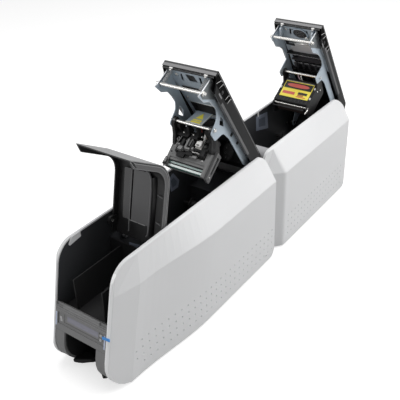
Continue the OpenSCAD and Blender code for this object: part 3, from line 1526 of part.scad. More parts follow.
printer_side_cover_right();
printer_side_cover_left();
laminator_side_cover_right();
laminator_side_cover_left();
printer_chassis();
laminator_chassis();
base_plates();
rubber_feet();
front_bezel();
display_window();
left_key();
upper_right_key();
lower_right_key();
status_lamps();
film_pull_tab();
card_outlet_bowl();
card_hopper();
pick_roller();
cleaning_roller();
feed_roller();
platen_roller();
exit_roller();
printer_belt();
ribbon_supply_spindle();
ribbon_takeup_spindle();
drive_motors();
printer_pinion();
lid_strikers();
front_cover();
hinge_pins();
printer_lid_shell();
laminator_lid_shell();
printer_lid_frame();
laminator_lid_frame();
printer_latch_shaft();
laminator_latch_shaft();
printer_latch_springs();
head_shaft();
head_carriage();
thermal_head();
head_side_rail();
head_cable();
head_guard_plate();
laminator_front_deck();
power_inlet();
intake_roller();
pressure_roller();
outlet_roller();
laminator_belt();
film_supply_spindle();
film_takeup_spindle();
laminator_pinion();
heater_rods();
heater_housing();
heat_roller();
heater_name_plate();
heater_wires();
main_board();
power_supply();
cover_screws();
echo(origin_y = centre_y, half_span = lid_reach_y - centre_y);
echo(front_hinge = [front_hinge_y - centre_y, front_hinge_z],
    printer_hinge = [printer_hinge_y - centre_y, printer_hinge_z]);
echo(laminator_hinge = [laminator_hinge_y - centre_y, laminator_hinge_z], shaft_z = shaft_z,
    pick = [pick_y - centre_y, pick_z]);
echo(rollers = [for (y = [cleaning_y, feed_y, platen_y, exit_y, intake_y, press_y,
    outlet_y]) y - centre_y]);
echo(spindles = [for (p = [[supply_y, ribbon_z], [takeup_y, ribbon_z], [film_supply_y, film_z],
    [film_takeup_y, film_takeup_z]])
    [p[0] - centre_y, p[1]]], motor_z = motor_z);
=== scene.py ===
"""Dresses the card printer and its laminator: finishes, moulded detail, stage, lights and camera."""
import math

import bmesh
import bpy
from mathutils import Matrix, Vector
from mathutils.bvhtree import BVHTree


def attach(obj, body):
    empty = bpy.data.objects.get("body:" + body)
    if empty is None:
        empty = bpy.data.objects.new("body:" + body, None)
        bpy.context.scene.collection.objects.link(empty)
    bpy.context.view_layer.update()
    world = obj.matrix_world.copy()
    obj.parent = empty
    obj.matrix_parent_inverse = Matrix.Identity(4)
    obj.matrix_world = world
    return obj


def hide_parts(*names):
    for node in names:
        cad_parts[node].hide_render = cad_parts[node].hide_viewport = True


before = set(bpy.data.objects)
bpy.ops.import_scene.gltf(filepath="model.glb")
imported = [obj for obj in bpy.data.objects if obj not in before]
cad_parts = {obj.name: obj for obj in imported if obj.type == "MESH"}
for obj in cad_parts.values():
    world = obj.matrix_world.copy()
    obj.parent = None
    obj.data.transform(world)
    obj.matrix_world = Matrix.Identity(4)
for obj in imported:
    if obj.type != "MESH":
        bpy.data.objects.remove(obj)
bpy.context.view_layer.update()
MM = 0.001

# The middle of the whole object lies this far behind the printer's front, in millimetres
MIDDLE = 408.939


def place(x, y, z):
    """A point in metres from millimetres measured at the printer's front."""
    return Vector((x * MM, (y - MIDDLE) * MM, z * MM))


def linked(name, data):
    """A new object in the scene."""
    made = bpy.data.objects.new(name, data)
    bpy.context.scene.collection.objects.link(made)
    return made


# Node trees and the two shared effects


def group(name, kind, inputs, outputs):
    """An empty node group with named sockets."""
    tree = bpy.data.node_groups.new(name, kind)
    for label, value_kind, default in inputs:
        socket = tree.interface.new_socket(label, in_out="INPUT", socket_type="NodeSocket" + value_kind)
        if default is not None:
            socket.default_value = default
    for label, value_kind in outputs:
        tree.interface.new_socket(label, in_out="OUTPUT", socket_type="NodeSocket" + value_kind)
    return tree, tree.nodes.new("NodeGroupInput"), tree.nodes.new("NodeGroupOutput")


def feed(tree, target, values):
    """Gives a node's inputs a value each, or a link from the output that feeds them."""
    for label, value in values.items():
        if isinstance(value, bpy.types.NodeSocket):
            tree.links.new(value, target.inputs[label])
        else:
            target.inputs[label].default_value = value


def node(tree, kind, values=None, operation=None):
    """A new node with its inputs fed."""
    made = tree.nodes.new(kind)
    if operation:
        made.operation = operation
    feed(tree, made, values or {})
    return made


def noise(tree, where, scale, detail):
    """Noise in its own grey values."""
    made = node(tree, "ShaderNodeTexNoise", {"Vector": where, "Scale": scale, "Detail": detail})
    return made.outputs["Fac"]


def times_plus(tree, value, factor, offset):
    """The value times the factor, plus the offset."""
    return node(tree, "ShaderNodeMath", {0: value, 1: factor, 2: offset}, "MULTIPLY_ADD").outputs[0]


def effect_end(tree, end, colour, shade, rough, height):
    """Shades the colour and hands all results on."""
    hue = node(tree, "ShaderNodeHueSaturation", {"Color": colour, "Value": shade})
    feed(tree, end, {"Colour": hue.outputs["Color"], "Roughness": rough, "Height": height})
    return tree


EFFECT_RESULTS = [("Colour", "Color"), ("Roughness", "Float"), ("Height", "Float")]


def moulded_grain():
    """Fine spark-eroded grain with a slow drift in shade, as moulded plastic has."""
    tree, start, end = group("moulded grain", "ShaderNodeTree", [
        ("Colour", "Color", (0.5, 0.5, 0.5, 1)), ("Grain", "Float", 1500.0), ("Drift", "Float", 0.06),
        ("Gloss", "Float", 0.45), ("Speckle", "Float", 0.08)], EFFECT_RESULTS)
    given = start.outputs
    where = node(tree, "ShaderNodeTexCoord").outputs["Object"]
    fine = noise(tree, where, scale=given["Grain"], detail=3)
    slow = noise(tree, where, scale=14, detail=4)
    shade = times_plus(tree, slow, factor=given["Drift"], offset=0.97)
    rough = times_plus(tree, fine, factor=given["Speckle"], offset=given["Gloss"])
    return effect_end(tree, end, given["Colour"], shade, rough, fine)


def brushed_sheet():
    """Rolled and zinc plated sheet: long faint lines and soft cloudy patches."""
    tree, start, end = group("brushed sheet", "ShaderNodeTree", [
        ("Colour", "Color", (0.5, 0.55, 0.6, 1)), ("Cloud", "Float", 0.25), ("Gloss", "Float", 0.3),
        ("Stretch", "Vector", (60.0, 900.0, 900.0))], EFFECT_RESULTS)
    given = start.outputs
    where = node(tree, "ShaderNodeTexCoord").outputs["Object"]
    drawn = node(tree, "ShaderNodeVectorMath", {0: where, 1: given["Stretch"]}, "MULTIPLY").outputs[0]
    lines = noise(tree, drawn, scale=1, detail=2)
    cloud = noise(tree, where, scale=30, detail=5)
    shade = times_plus(tree, cloud, factor=given["Cloud"], offset=0.9)
    rough = times_plus(tree, lines, factor=0.2, offset=given["Gloss"])
    return effect_end(tree, end, given["Colour"], shade, rough, lines)


GRAIN = moulded_grain()
SHEET = brushed_sheet()

# Finishes


def finish_material(name, effect, bump, metallic=0.0, coat=0.0, distance=0.0004, sheen=0.5, **values):
    """A Principled material fed by one of the shared effects."""
    made = bpy.data.materials.new(name)
    made.use_nodes = True
    tree = made.node_tree
    surface = tree.nodes.new("ShaderNodeGroup")
    surface.node_tree = effect
    feed(tree, surface, values)
    relief = node(tree, "ShaderNodeBump", {
        "Strength": bump, "Distance": distance, "Height": surface.outputs["Height"]})
    feed(tree, tree.nodes["Principled BSDF"], {
        "Base Color": surface.outputs["Colour"], "Roughness": surface.outputs["Roughness"],
        "Normal": relief.outputs["Normal"], "Metallic": metallic, "Specular IOR Level": sheen,
        "Coat Weight": coat})
    return made


def grey(level, tint=(1.0, 1.0, 1.0)):
    """A linear colour from a shade as it is seen, 0 to 255."""
    c = level / 255
    lin = c / 12.92 if c <= 0.04045 else ((c + 0.055) / 1.055) ** 2.4
    return (lin * tint[0], lin * tint[1], lin * tint[2], 1)


def plastic(name, level, tint=(1, 1, 1), gloss=0.42, bump=0.12, grain=1500.0, drift=0.06, coat=0.0,
            sheen=0.5):
    """Moulded plastic, rubber or film; the level is its shade as seen."""
    return finish_material(name, GRAIN, bump, coat=coat, sheen=sheen, Colour=grey(level, tint), Grain=grain,
                           Gloss=gloss, Drift=drift)


def metal(name, level, tint=(1, 1, 1), gloss=0.28, bump=0.05, cloud=0.2, shine=0.9):
    """Sheet or turned metal; the shine is how metallic it looks."""
    return finish_material(name, SHEET, bump, metallic=shine, distance=0.0002, Colour=grey(level, tint),
                           Gloss=gloss, Cloud=cloud)


cover_white = plastic("cover white", 214, (0.985, 0.99, 1.0), gloss=0.40, bump=0.05, drift=0.03)
black_moulding = plastic("black moulding", 26, (1, 1, 1.06), gloss=0.45, sheen=0.35)
deep_black = plastic("deep black", 8, gloss=0.7, sheen=0.05)
dark_moulding = plastic("dark moulding", 44, (1, 1, 1.04), gloss=0.45)
bezel_grey = plastic("bezel grey", 118, (1, 1, 1.01), gloss=0.5)
mid_grey = plastic("mid grey moulding", 140, gloss=0.5)
soft_black = plastic("roller rubber", 40, gloss=0.75, bump=0.2, grain=2500)
tacky_grey = plastic("cleaning rubber", 185, gloss=0.5)
silicone_red = plastic("silicone red", 120, (1.0, 0.35, 0.25), gloss=0.55)
heat_brown = plastic("heat roller brown", 44, (1.0, 0.6, 0.5), gloss=0.5)
plug_white = plastic("plug white", 250, (1, 0.99, 0.97), gloss=0.4, bump=0.05)
chassis_dark = plastic("chassis dark", 54, (0.96, 1, 1.1), sheen=0.45)
feet_rubber = plastic("foot rubber", 48, gloss=0.85, bump=0.3)
display_film = plastic("display film", 130, (0.94, 0.94, 1.14), gloss=0.08, bump=0.01, coat=0.6)
lamp_film = plastic("lamp film", 200, (0.85, 0.95, 1.2), gloss=0.2, bump=0.02, coat=0.3)
blue_film = plastic("blue film", 200, (0.06, 0.42, 1.12), gloss=0.15, bump=0.02, coat=0.4)
mint_glaze = plastic("mint glaze", 128, (0.55, 1.05, 0.95), gloss=0.15, bump=0.02, coat=0.5)
pale_glaze = plastic("pale glaze", 214, (0.90, 1.03, 1.0), gloss=0.15, bump=0.02, coat=0.5)
carriage_grey = plastic("carriage grey", 118, gloss=0.5)
white_sleeve = plastic("white sleeve", 250, (1, 0.99, 0.95), gloss=0.4, bump=0.05)
pink_sleeve = plastic("pink sleeve", 215, (1.0, 0.68, 0.76), gloss=0.4)
label_yellow = plastic("label yellow", 250, (1.0, 0.84, 0.10), gloss=0.35, bump=0.02)
board_green = plastic("board green", 90, (0.25, 1.0, 0.45), gloss=0.25, coat=0.3)
motor_black = plastic("motor black", 60, gloss=0.35)
# painted highlight: a paler copy of the cover white for the right cover's lit front rim
rim_painted_highlight = plastic("rim painted highlight", 242, (0.985, 0.99, 1.0), gloss=0.4, bump=0.05, drift=0.03)
rail_grey = plastic("rail grey", 82, (1, 1, 1.02), gloss=0.45)
deck_grey = plastic("deck grey", 150, (1, 1, 1.03), gloss=0.5)
key_pale = plastic("pale key", 172, (1, 1, 1.01), gloss=0.4)
# painted highlight: pale lines for the light on the bezel's groove edges
bezel_painted_highlight = plastic("bezel painted highlight", 146, (1, 1, 1.01), gloss=0.45)
# dark lines for joints round the display; over the columns also a painted shadow
bezel_line = plastic("bezel line", 62, (1, 1, 1.02), gloss=0.5)
hollow_grey = plastic("hollow grey", 72, (1.02, 0.97, 1.06))
# painted shade: a slightly darker copy of the cover white inside the dimples
dimple_painted_shade = plastic("dimple painted shade", 200, (0.97, 0.985, 1.0), gloss=0.45, bump=0.02)
pale_skin = plastic("pale skin", 150, (0.985, 0.99, 1.0), bump=0.05, drift=0.03)
front_dark = plastic("front cover inside", 34, (1, 1, 1.05))
lid_dark = plastic("lid dark", 23, (1, 1, 1.1), sheen=0.2)
lid_lip = plastic("lid lip", 92, (1, 1, 1.03), gloss=0.45)
lid_nose = plastic("lid nose", 62, (1, 1, 1.02), gloss=0.45)
lid_nose_rib = plastic("lid nose rib", 126, (1, 1, 1.02), gloss=0.45)
lid_border = plastic("lid border", 72, (1, 1, 1.03), gloss=0.4)
flange_grey = plastic("front cover flange", 82, (1, 1, 1.02), gloss=0.45)
# painted highlight: pale lines on the front cover's flanges for the light on their edges
flange_painted_highlight = plastic("front cover painted highlight", 140, (1, 1, 1.01), gloss=0.4)
pad_grey = plastic("front cover pad", 92, (1, 1, 1.03))
pad_edge = plastic("front cover pad edge", 108, (1, 1, 1.03))
hopper_black = plastic("hopper black", 34, (1, 1, 1.05), gloss=0.5, sheen=0.3)
wall_label = plastic("wall label", 132, (0.86, 0.97, 1.22), gloss=0.3, bump=0.02)
label_shade = plastic("wall label shade", 96, (0.84, 0.97, 1.24), gloss=0.3, bump=0.02)
hook_white = plastic("pale hook", 226, (1, 0.99, 0.97), gloss=0.45)
red_lead = plastic("red lead", 170, (1.0, 0.12, 0.08), gloss=0.4)
orange_lead = plastic("orange lead", 190, (1.0, 0.45, 0.08), gloss=0.4)
patch_yellow = plastic("patch yellow", 248, (1.0, 0.86, 0.08), gloss=0.35, bump=0.02, drift=0.1)
patch_dark = plastic("patch dark", 46, (1.0, 0.95, 0.8), gloss=0.35, bump=0.02)
patch_red = plastic("patch red", 214, (1.0, 0.20, 0.16), gloss=0.35, bump=0.02)
patch_orange = plastic("patch orange", 180, (1.0, 0.45, 0.10), gloss=0.35, bump=0.02)
# painted highlight: near white strips for the light that bent sheet edges catch
fold_painted_highlight = metal("fold painted highlight", 240, (0.97, 0.99, 1.02), gloss=0.3, cloud=0.05, shine=0.2)
# silver of real springs, rods and screws; on the latch ribs it is a painted highlight
silver_and_painted_highlight = metal("silver and painted highlight", 190, (1.0, 0.99, 0.98), gloss=0.3, cloud=0.15, shine=0.6)
polished = metal("polished plate", 205, (0.98, 0.97, 1.0), gloss=0.22, bump=0.03, cloud=0.3, shine=0.35)
zinc_sheet = metal("zinc sheet", 188, (0.85, 0.98, 1.10), gloss=0.36, cloud=0.3, shine=0.32)
# painted shade: darker copies of the zinc for bent faces and strips that turn from the light
zinc_painted_shade = metal("zinc painted shade", 128, (0.90, 0.98, 1.02), gloss=0.4, cloud=0.15, shine=0.45)
blue_painted_shade = metal("blue painted shade", 92, (0.80, 0.97, 1.2), gloss=0.4, cloud=0.15, shine=0.45)
base_sheet = metal("base sheet", 165, (0.97, 0.99, 1.02), gloss=0.36)
ground_steel = finish_material(
    "ground steel", GRAIN, 0.0, metallic=0.85, Colour=grey(232, (1.0, 0.985, 0.95)), Grain=240.0, Gloss=0.26,
    Drift=0.05, Speckle=0.0)
spring_wire = metal("spring wire", 190, gloss=0.25)
machined_brass = metal("machined brass", 205, (1.0, 0.76, 0.36), gloss=0.2)

# The finish of each CAD node
NODE_FINISH = [
    (cover_white, ["printer_side_cover_right", "printer_side_cover_left", "laminator_side_cover_right",
                   "laminator_side_cover_left"]),
    (chassis_dark, ["printer_chassis", "laminator_chassis"]),
    (black_moulding, ["card_outlet_bowl", "power_inlet", "heater_housing"]),
    (dark_moulding, ["front_cover", "printer_lid_shell", "laminator_lid_shell", "ribbon_supply_spindle",
                     "ribbon_takeup_spindle", "film_supply_spindle", "film_takeup_spindle"]),
    (soft_black, ["pick_roller", "feed_roller", "platen_roller", "exit_roller", "printer_belt",
                  "intake_roller", "outlet_roller", "laminator_belt"]),
    (ground_steel, ["hinge_pins", "printer_latch_shaft", "laminator_latch_shaft", "head_shaft", "heater_rods",
                    "cover_screws"]),
    (zinc_sheet, ["printer_lid_frame", "laminator_lid_frame", "head_guard_plate"]),
    (base_sheet, ["base_plates", "lid_strikers", "power_supply"]),
    (machined_brass, ["printer_pinion", "laminator_pinion"]),
    (key_pale, ["left_key", "upper_right_key", "lower_right_key"]),
    (bezel_grey, ["front_bezel"]),
    (display_film, ["display_window"]),
    (lamp_film, ["status_lamps"]),
    (blue_film, ["film_pull_tab"]),
    (hopper_black, ["card_hopper"]),
    (feet_rubber, ["rubber_feet"]),
    (tacky_grey, ["cleaning_roller"]),
    (motor_black, ["drive_motors"]),
    (spring_wire, ["printer_latch_springs"]),
    (carriage_grey, ["head_carriage"]),
    (mint_glaze, ["thermal_head"]),
    (rail_grey, ["head_side_rail"]),
    (white_sleeve, ["head_cable"]),
    (deck_grey, ["laminator_front_deck"]),
    (silicone_red, ["pressure_roller"]),
    (heat_brown, ["heat_roller"]),
    (label_yellow, ["heater_name_plate"]),
    (pink_sleeve, ["heater_wires"]),
    (board_green, ["main_board"])]
for finish, names in NODE_FINISH:
    for name in names:
        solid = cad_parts[name]
        for slot in solid.material_slots:
            slot.material = finish
        if not solid.material_slots:
            solid.data.materials.append(finish)

# Each hinged cover's hinge line and opening angle: millimetres behind the front, above the table, degrees
HINGE = {"printer_lid": (425.0, 190.0, 57.0), "laminator_lid": (754.5, 140.5, 55.8),
         "front_cover": (144.4, 204.0, 103.0)}
# Each lid's length ahead of its hinge line, and the heights of its top and of its lower edges above that line
LIDS = {"printer_lid": (254, 30.5, 2.5), "laminator_lid": (258, 80, 62)}
# The display bar's face leans back about a line across the machine
FRONT_LEAN = 14.0
BAR_MID = (7.03, 103.5)


def turned_point(y0, z0, degrees):
    """Places points of a part that is turned about a line across the machine."""
    c, s = math.cos(math.radians(degrees)), math.sin(math.radians(degrees))
    return lambda x, y, z: place(x, y0 + y * c + z * s, z0 - y * s + z * c)


def local_of(name, p):
    """A point in metres back into a cover's own millimetres."""
    y0, z0, degrees = HINGE[name]
    c, s = math.cos(math.radians(degrees)), math.sin(math.radians(degrees))
    dy, dz = p.y / MM + MIDDLE - y0, p.z / MM - z0
    return Vector((p.x / MM, dy * c - dz * s, dy * s + dz * c))


ON_LID = {name: turned_point(*hinge) for name, hinge in HINGE.items()}
ON_FACE = turned_point(BAR_MID[0], BAR_MID[1], FRONT_LEAN)

# Pieces

# A bar steeper than this takes its sides from the second direction, any other from the first
STEEP = 0.95
SIDEWAYS = ((0.03, 0.02, 1), (1, 0.02, 0))
# A screw's rim and dome: height of the middle and thickness
SCREW_RIM = (0.5, 1.0)
SCREW_DOME = (1.1, 0.5)
# Its recess: height, and by its radius the dome's radius, half the recess' length and the recess' thickness
RECESS_Z = 1.2
DOME_R, RECESS_HALF, RECESS_R = 0.7, 0.5, 0.13
# Corners of a node's mesh that lie this close together in metres are one
MERGE = 1e-6


def circle(sides):
    """Angles once round."""
    return [2 * math.pi * k / sides for k in range(sides)]


def mirrored(s, inner, outer):
    """A range of x on the right for s = 1 and its mirror image on the left for s = -1."""
    return sorted((s * inner, s * outer))


def plain_mesh(name, work, finishes):
    """A mesh from the shapes drawn, with a slot for each finish."""
    mesh = bpy.data.meshes.new(name)
    work.to_mesh(mesh)
    work.free()
    for finish in finishes:
        mesh.materials.append(finish)
    return mesh


class Piece:
    """A piece built from several small solids, each with its own finish."""

    def __init__(self, name, body, at, *finishes):
        self.name, self.body, self.at, self.finishes = name, body, at, finishes
        self.mesh = bmesh.new()

    def solid(self, points, faces, finish=0, soften=0.0, smooth=False):
        """A closed solid with its edges softened by a small round."""
        made = [self.mesh.verts.new(p) for p in points]
        drawn = []
        for f in faces:
            face = self.mesh.faces.new([made[i] for i in f])
            face.material_index = finish
            face.smooth = smooth
            drawn.append(face)
        if soften:
            edges = list({e for f in drawn for e in f.edges})
            bmesh.ops.bevel(self.mesh, geom=edges, offset=soften, segments=2, affect="EDGES", profile=0.6)

    def box(self, x, y, z, finish=0, soften=0.25):
        points = [(a, b, c) for c in z for b in y for a in x]
        faces = [(0, 2, 3, 1), (4, 5, 7, 6), (0, 1, 5, 4), (2, 6, 7, 3), (0, 4, 6, 2), (1, 3, 7, 5)]
        self.solid(points, faces, finish, soften)

    def boxes(self, *rows):
        """Boxes with ranges in x, y and z, a finish and a soft edge each."""
        for row in rows:
            self.box(*row)

    def prism(self, low, high, finish=0, soften=0.0):
        """Two matching outlines with walls between them."""
        n = len(low)
        faces = [tuple(range(n)), tuple(range(2 * n - 1, n - 1, -1))]
        faces += [((i + 1) % n, i, n + i, n + (i + 1) % n) for i in range(n)]
        self.solid(low + high, faces, finish, soften)

    def slab(self, x, outline, finish=0, soften=0.2):
        """An outline in (y, z) drawn out across the machine."""
        self.prism([(x[0], *p) for p in outline], [(x[1], *p) for p in outline], finish, soften)

    def panel(self, outline, z, finish=0, soften=0.15):
        """An outline in (x, y) with a thickness along z."""
        self.prism([(*p, z[0]) for p in outline], [(*p, z[1]) for p in outline], finish, soften)

    def tube(self, path, radius, finish=0, sides=12):
        """A round bar along a path."""
        path = [Vector(p) for p in path]
        points, last = [], len(path) - 1
        for i, p in enumerate(path):
            along = (path[min(i + 1, last)] - path[max(i - 1, 0)]).normalized()
            side = along.cross(Vector(SIDEWAYS[abs(along.z) >= STEEP])).normalized()
            up = side.cross(along)
            points += [tuple(p + radius * (math.cos(t) * side + math.sin(t) * up)) for t in circle(sides)]
        faces = [tuple(range(sides)), tuple(last * sides + k for k in range(sides - 1, -1, -1))]
        for ring in range(0, last * sides, sides):
            faces += [(ring + (k + 1) % sides, ring + k, ring + sides + k, ring + sides + (k + 1) % sides)
                      for k in range(sides)]
        self.solid(points, faces, finish, smooth=True)

    def disc(self, centre, axis, radius, thick, finish=0, sides=24):
        """A round disc about its centre, square to the axis."""
        a = Vector(axis).normalized() * (thick / 2)
        c = Vector(centre)
        self.tube([c - a, c + a], radius, finish, sides)

    def screw(self, centre, axis, radius, head=0, slot=1):
        """A pan head: rim, dome and a cross recess."""
        a, seat = Vector(axis).normalized(), Vector(centre)
        self.disc(seat + a * SCREW_RIM[0], axis, radius, SCREW_RIM[1], head, 16)
        self.disc(seat + a * SCREW_DOME[0], axis, radius * DOME_R, SCREW_DOME[1], head, 16)
        side = a.cross(Vector((0.1, 0.2, 1))).normalized()
        for d in (side, a.cross(side)):
            top, reach = seat + a * RECESS_Z, d * radius * RECESS_HALF
            self.tube([top - reach, top + reach], radius * RECESS_R, slot, 6)

    def done(self):
        """Puts the finished piece on its body."""
        for v in self.mesh.verts:
            v.co = self.at(*v.co)
        bmesh.ops.recalc_face_normals(self.mesh, faces=self.mesh.faces)
        made = linked(self.name, plain_mesh(self.name, self.mesh, self.finishes))
        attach(made, self.body)


def cover_piece(name, body, *finishes):
    """A piece drawn in the own millimetres of the cover that it rides on."""
    return Piece(name, body, ON_LID[body], *finishes)


def dressed_copy(node_name, body, finishes, choose):
    """The node's own mesh with a finish chosen face by face; it stands for the node."""
    work = bmesh.new()
    work.from_mesh(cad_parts[node_name].data)
    bmesh.ops.remove_doubles(work, verts=work.verts, dist=MERGE)
    bmesh.ops.recalc_face_normals(work, faces=work.faces)
    for f in work.faces:
        f.material_index = choose(f.calc_center_median(), f.normal)
    made = linked(node_name + "_dressed", plain_mesh(node_name + "_dressed", work, finishes))
    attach(made, body)
    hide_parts(node_name)
    return made


# Dimples in four rows over both machines' side covers, with two in the printer's first column. A ball presses
# each, with its middle outside the skin by this share of its radius
DIMPLE_R = 2.5
DIMPLE_SET = 0.55
DIMPLE_ROWS = [24.7 + 14.5 * i for i in range(4)]
PRINTER_COLUMNS = [(50.1, (1, 2))] + [(64.8 + 14.74 * i, (0, 1, 2, 3)) for i in range(26)]
LAMINATOR_COLUMNS = [(498.0 + 14.3 * i, (0, 1, 2, 3)) for i in range(18)]
# Dimples are sought from this far out, and left out where the skin faces the side by less than this
FAR_OUT = 200.0
LEAST_FACING = 0.7


def dimple_nodes():
    """Geometry nodes: one shallow drop on each point, realized, then given the finish of the dimples."""
    tree, start, end = group("dimple drops", "GeometryNodeTree", [
        ("Geometry", "Geometry", None), ("Dimple radius", "Float", DIMPLE_R * MM),
        ("Finish", "Material", None)], [("Geometry", "Geometry")])
    given = start.outputs
    ball = node(tree, "GeometryNodeMeshUVSphere", {
        "Segments": 14, "Rings": 7, "Radius": given["Dimple radius"]})
    spread = node(tree, "GeometryNodeInstanceOnPoints", {
        "Points": given["Geometry"], "Instance": ball.outputs["Mesh"]})
    real = node(tree, "GeometryNodeRealizeInstances", {"Geometry": spread.outputs["Instances"]})
    dress = node(tree, "GeometryNodeSetMaterial", {
        "Geometry": real.outputs["Geometry"], "Material": given["Finish"]})
    feed(tree, end, {"Geometry": dress.outputs["Geometry"]})
    return tree


DIMPLES = dimple_nodes()


def evaluated_mesh(thing):
    """A plain mesh of an object as its modifiers make it."""
    bpy.context.view_layer.update()
    return bpy.data.meshes.new_from_object(thing.evaluated_get(bpy.context.evaluated_depsgraph_get()))


def grown(name, points, tree, settings):
    """A plain mesh that a node tree grows on the points."""
    mesh = bpy.data.meshes.new(name)
    mesh.from_pydata(points, [], [])
    seed = linked(name, mesh)
    growth = seed.modifiers.new("growth", "NODES")
    growth.node_group = tree
    for item in tree.interface.items_tree:
        if item.in_out == "INPUT" and item.name in settings:
            growth[item.identifier] = settings[item.name]
    result = evaluated_mesh(seed)
    bpy.data.objects.remove(seed)
    return result


# Faces of the right cover's rim lie ahead of this in metres, face forwards and don't face up
RIM_AHEAD = -0.2
RIM_FORWARD = -0.62
RIM_LEVEL = 0.7


def cover_finish(at, facing):
    """The right cover's front rim gets a paler copy of the cover white: a painted highlight."""
    on_rim = at.x > 0 and at.y < RIM_AHEAD and facing.y < RIM_FORWARD and facing.z < RIM_LEVEL
    return 2 if on_rim else 0


def dimpled_cover(node_name, side, columns):
    """The cover with its dimples pressed in where a line across the machine meets its skin."""
    cover = dressed_copy(node_name, "base", (cover_white, dimple_painted_shade, rim_painted_highlight), cover_finish)
    skin = bmesh.new()
    skin.from_mesh(cover.data)
    tree = BVHTree.FromBMesh(skin)
    points = []
    for y, rows in columns:
        for row in rows:
            start = place(side * FAR_OUT, y, DIMPLE_ROWS[row])
            hit, facing, _, _ = tree.ray_cast(start, Vector((-side, 0, 0)))
            if hit and side * facing.x > LEAST_FACING:
                points.append(hit + facing * DIMPLE_SET * DIMPLE_R * MM)
    skin.free()
    # the drops carry the darker white into the dimples as painted shade
    drops = linked(node_name + " drops", grown(node_name + " drops", points, DIMPLES, {
        "Dimple radius": DIMPLE_R * MM, "Finish": dimple_painted_shade}))
    press = cover.modifiers.new("press", "BOOLEAN")
    press.operation = "DIFFERENCE"
    press.solver = "EXACT"
    press.object = drops
    pressed = evaluated_mesh(cover)
    cover.modifiers.remove(press)
    cover.data = pressed
    bpy.data.objects.remove(drops)


for side, word in ((1, "right"), (-1, "left")):
    dimpled_cover("printer_side_cover_" + word, side, PRINTER_COLUMNS)
    dimpled_cover("laminator_side_cover_" + word, side, LAMINATOR_COLUMNS)


# The front cover's skin as an outline in (y, z): its lip leans out, its corner is rounded
LIP_LEAN = 16.5
LIP_CORNER = (-112.9, 16.5)
LIP_DROP = 99.0
CORNER_R = 42.0
CORNER_STEPS = 12
COVER_TAIL = 23.5
# Thin forms start at this half width, on the flanges' outer faces; the pad's lower face has this height
FLANGE_X = 49.9
PAD_FACE_Z = 8.0
# Faces count as square to an axis, or as turned outwards, from these values on
SQUARE_ON = 0.9
OUTWARDS = 0.3
# The outer skin lies above this height, the lip ahead of this line, the pad's face within this of its height
SKIN_ABOVE = 12
LIP_AHEAD = -90
PAD_NEAR = 0.5


def front_cover_finish(at, facing):
    """Outer skin pale, side flanges and pad mid grey, everything else inside dark."""
    p = local_of("front_cover", at)
    n = local_of("front_cover", at + facing * MM) - p
    lean = math.radians(LIP_LEAN)
    lip_out = -n.y * math.cos(lean) + n.z * math.sin(lean)
    if abs(p.x) > FLANGE_X and abs(n.x) > SQUARE_ON:
        return 2
    if n.z < -SQUARE_ON and abs(p.z - PAD_FACE_Z) < PAD_NEAR:
        return 3
    if (n.z > OUTWARDS or lip_out > OUTWARDS) and (p.z > SKIN_ABOVE or p.y < LIP_AHEAD):
        return 0
    return 1


def cover_run(depth):
    """The outline that lies this far inside the front cover's skin."""
    lean = math.radians(LIP_LEAN)
    corner = (LIP_CORNER[0] - depth * math.tan(lean) + depth / math.cos(lean), LIP_CORNER[1] - depth)
    r = CORNER_R - depth
    reach = r / math.tan(math.radians((90 + LIP_LEAN) / 2))
    low = LIP_CORNER[1] - LIP_DROP + 0.9 * depth
    run = [(LIP_CORNER[0] + (low - LIP_CORNER[1]) * math.tan(lean) + depth / math.cos(lean), low)]
    centre = (corner[0] + reach, corner[1] - r)
    for i in range(CORNER_STEPS + 1):
        t = math.radians(180 - LIP_LEAN - (90 - LIP_LEAN) * i / CORNER_STEPS)
        run.append((centre[0] + r * math.cos(t), centre[1] + r * math.sin(t)))
    return run + [(COVER_TAIL, corner[1])]


dressed_copy("front_cover", "front_cover", (pale_skin, front_dark, flange_grey, pad_grey), front_cover_finish)

# Lines along the flanges: how far out they reach, their two edges inside the skin, and their finish; the pale
# rim lines are painted highlights on the flange's edge and on the edge of its groove
FLANGE_LINES = [(50.2, 0.1, 1.1, 0), (50.1, 1.1, 3.3, 1), (50.3, 3.3, 4.2, 0), (50.2, 10.3, 11.2, 4)]
POCKET_RIM = [(-141.0, -80.5), (-131.0, -72.5), (-127.0, -64.5), (-137.0, -71.5), (-141.0, -80.5)]
POCKET_FLOOR = [(-138.5, -77.5), (-131.6, -72.0), (-129.0, -67.0), (-135.8, -72.0)]
PAD_OUTLINE = [(-13.4, -93), (12, -95.5), (17.4, -92.5), (20.4, -85), (21.6, -53), (21.8, -8.6),
               (-13.4, -8.6)]
STRIP_OUTLINE = [(-33, -91.5), (-16.3, -93), (-16.3, -8.6), (-31.5, -7.9)]
PAD_RIDGE = [(10, -96.3, 9.5), (16.5, -93.6, 8.8), (20.2, -87, 8.3), (21.9, -72, 8.0), (22.4, -53, 7.9),
             (22.7, -16, 7.9), (22.2, -2, 8.2), (21.0, 7, 9.0), (17.5, 11, 10.5)]
SLOPE_LOW = [(22.5, -88, 8.6), (24, -53, 8), (24, 6, 8.6), (29, 6, 13.4), (29.5, -53, 13.4),
             (28.5, -92, 13.4)]
# The slopes and fins end at this height, under the skin
UNDER_SKIN = 13.9


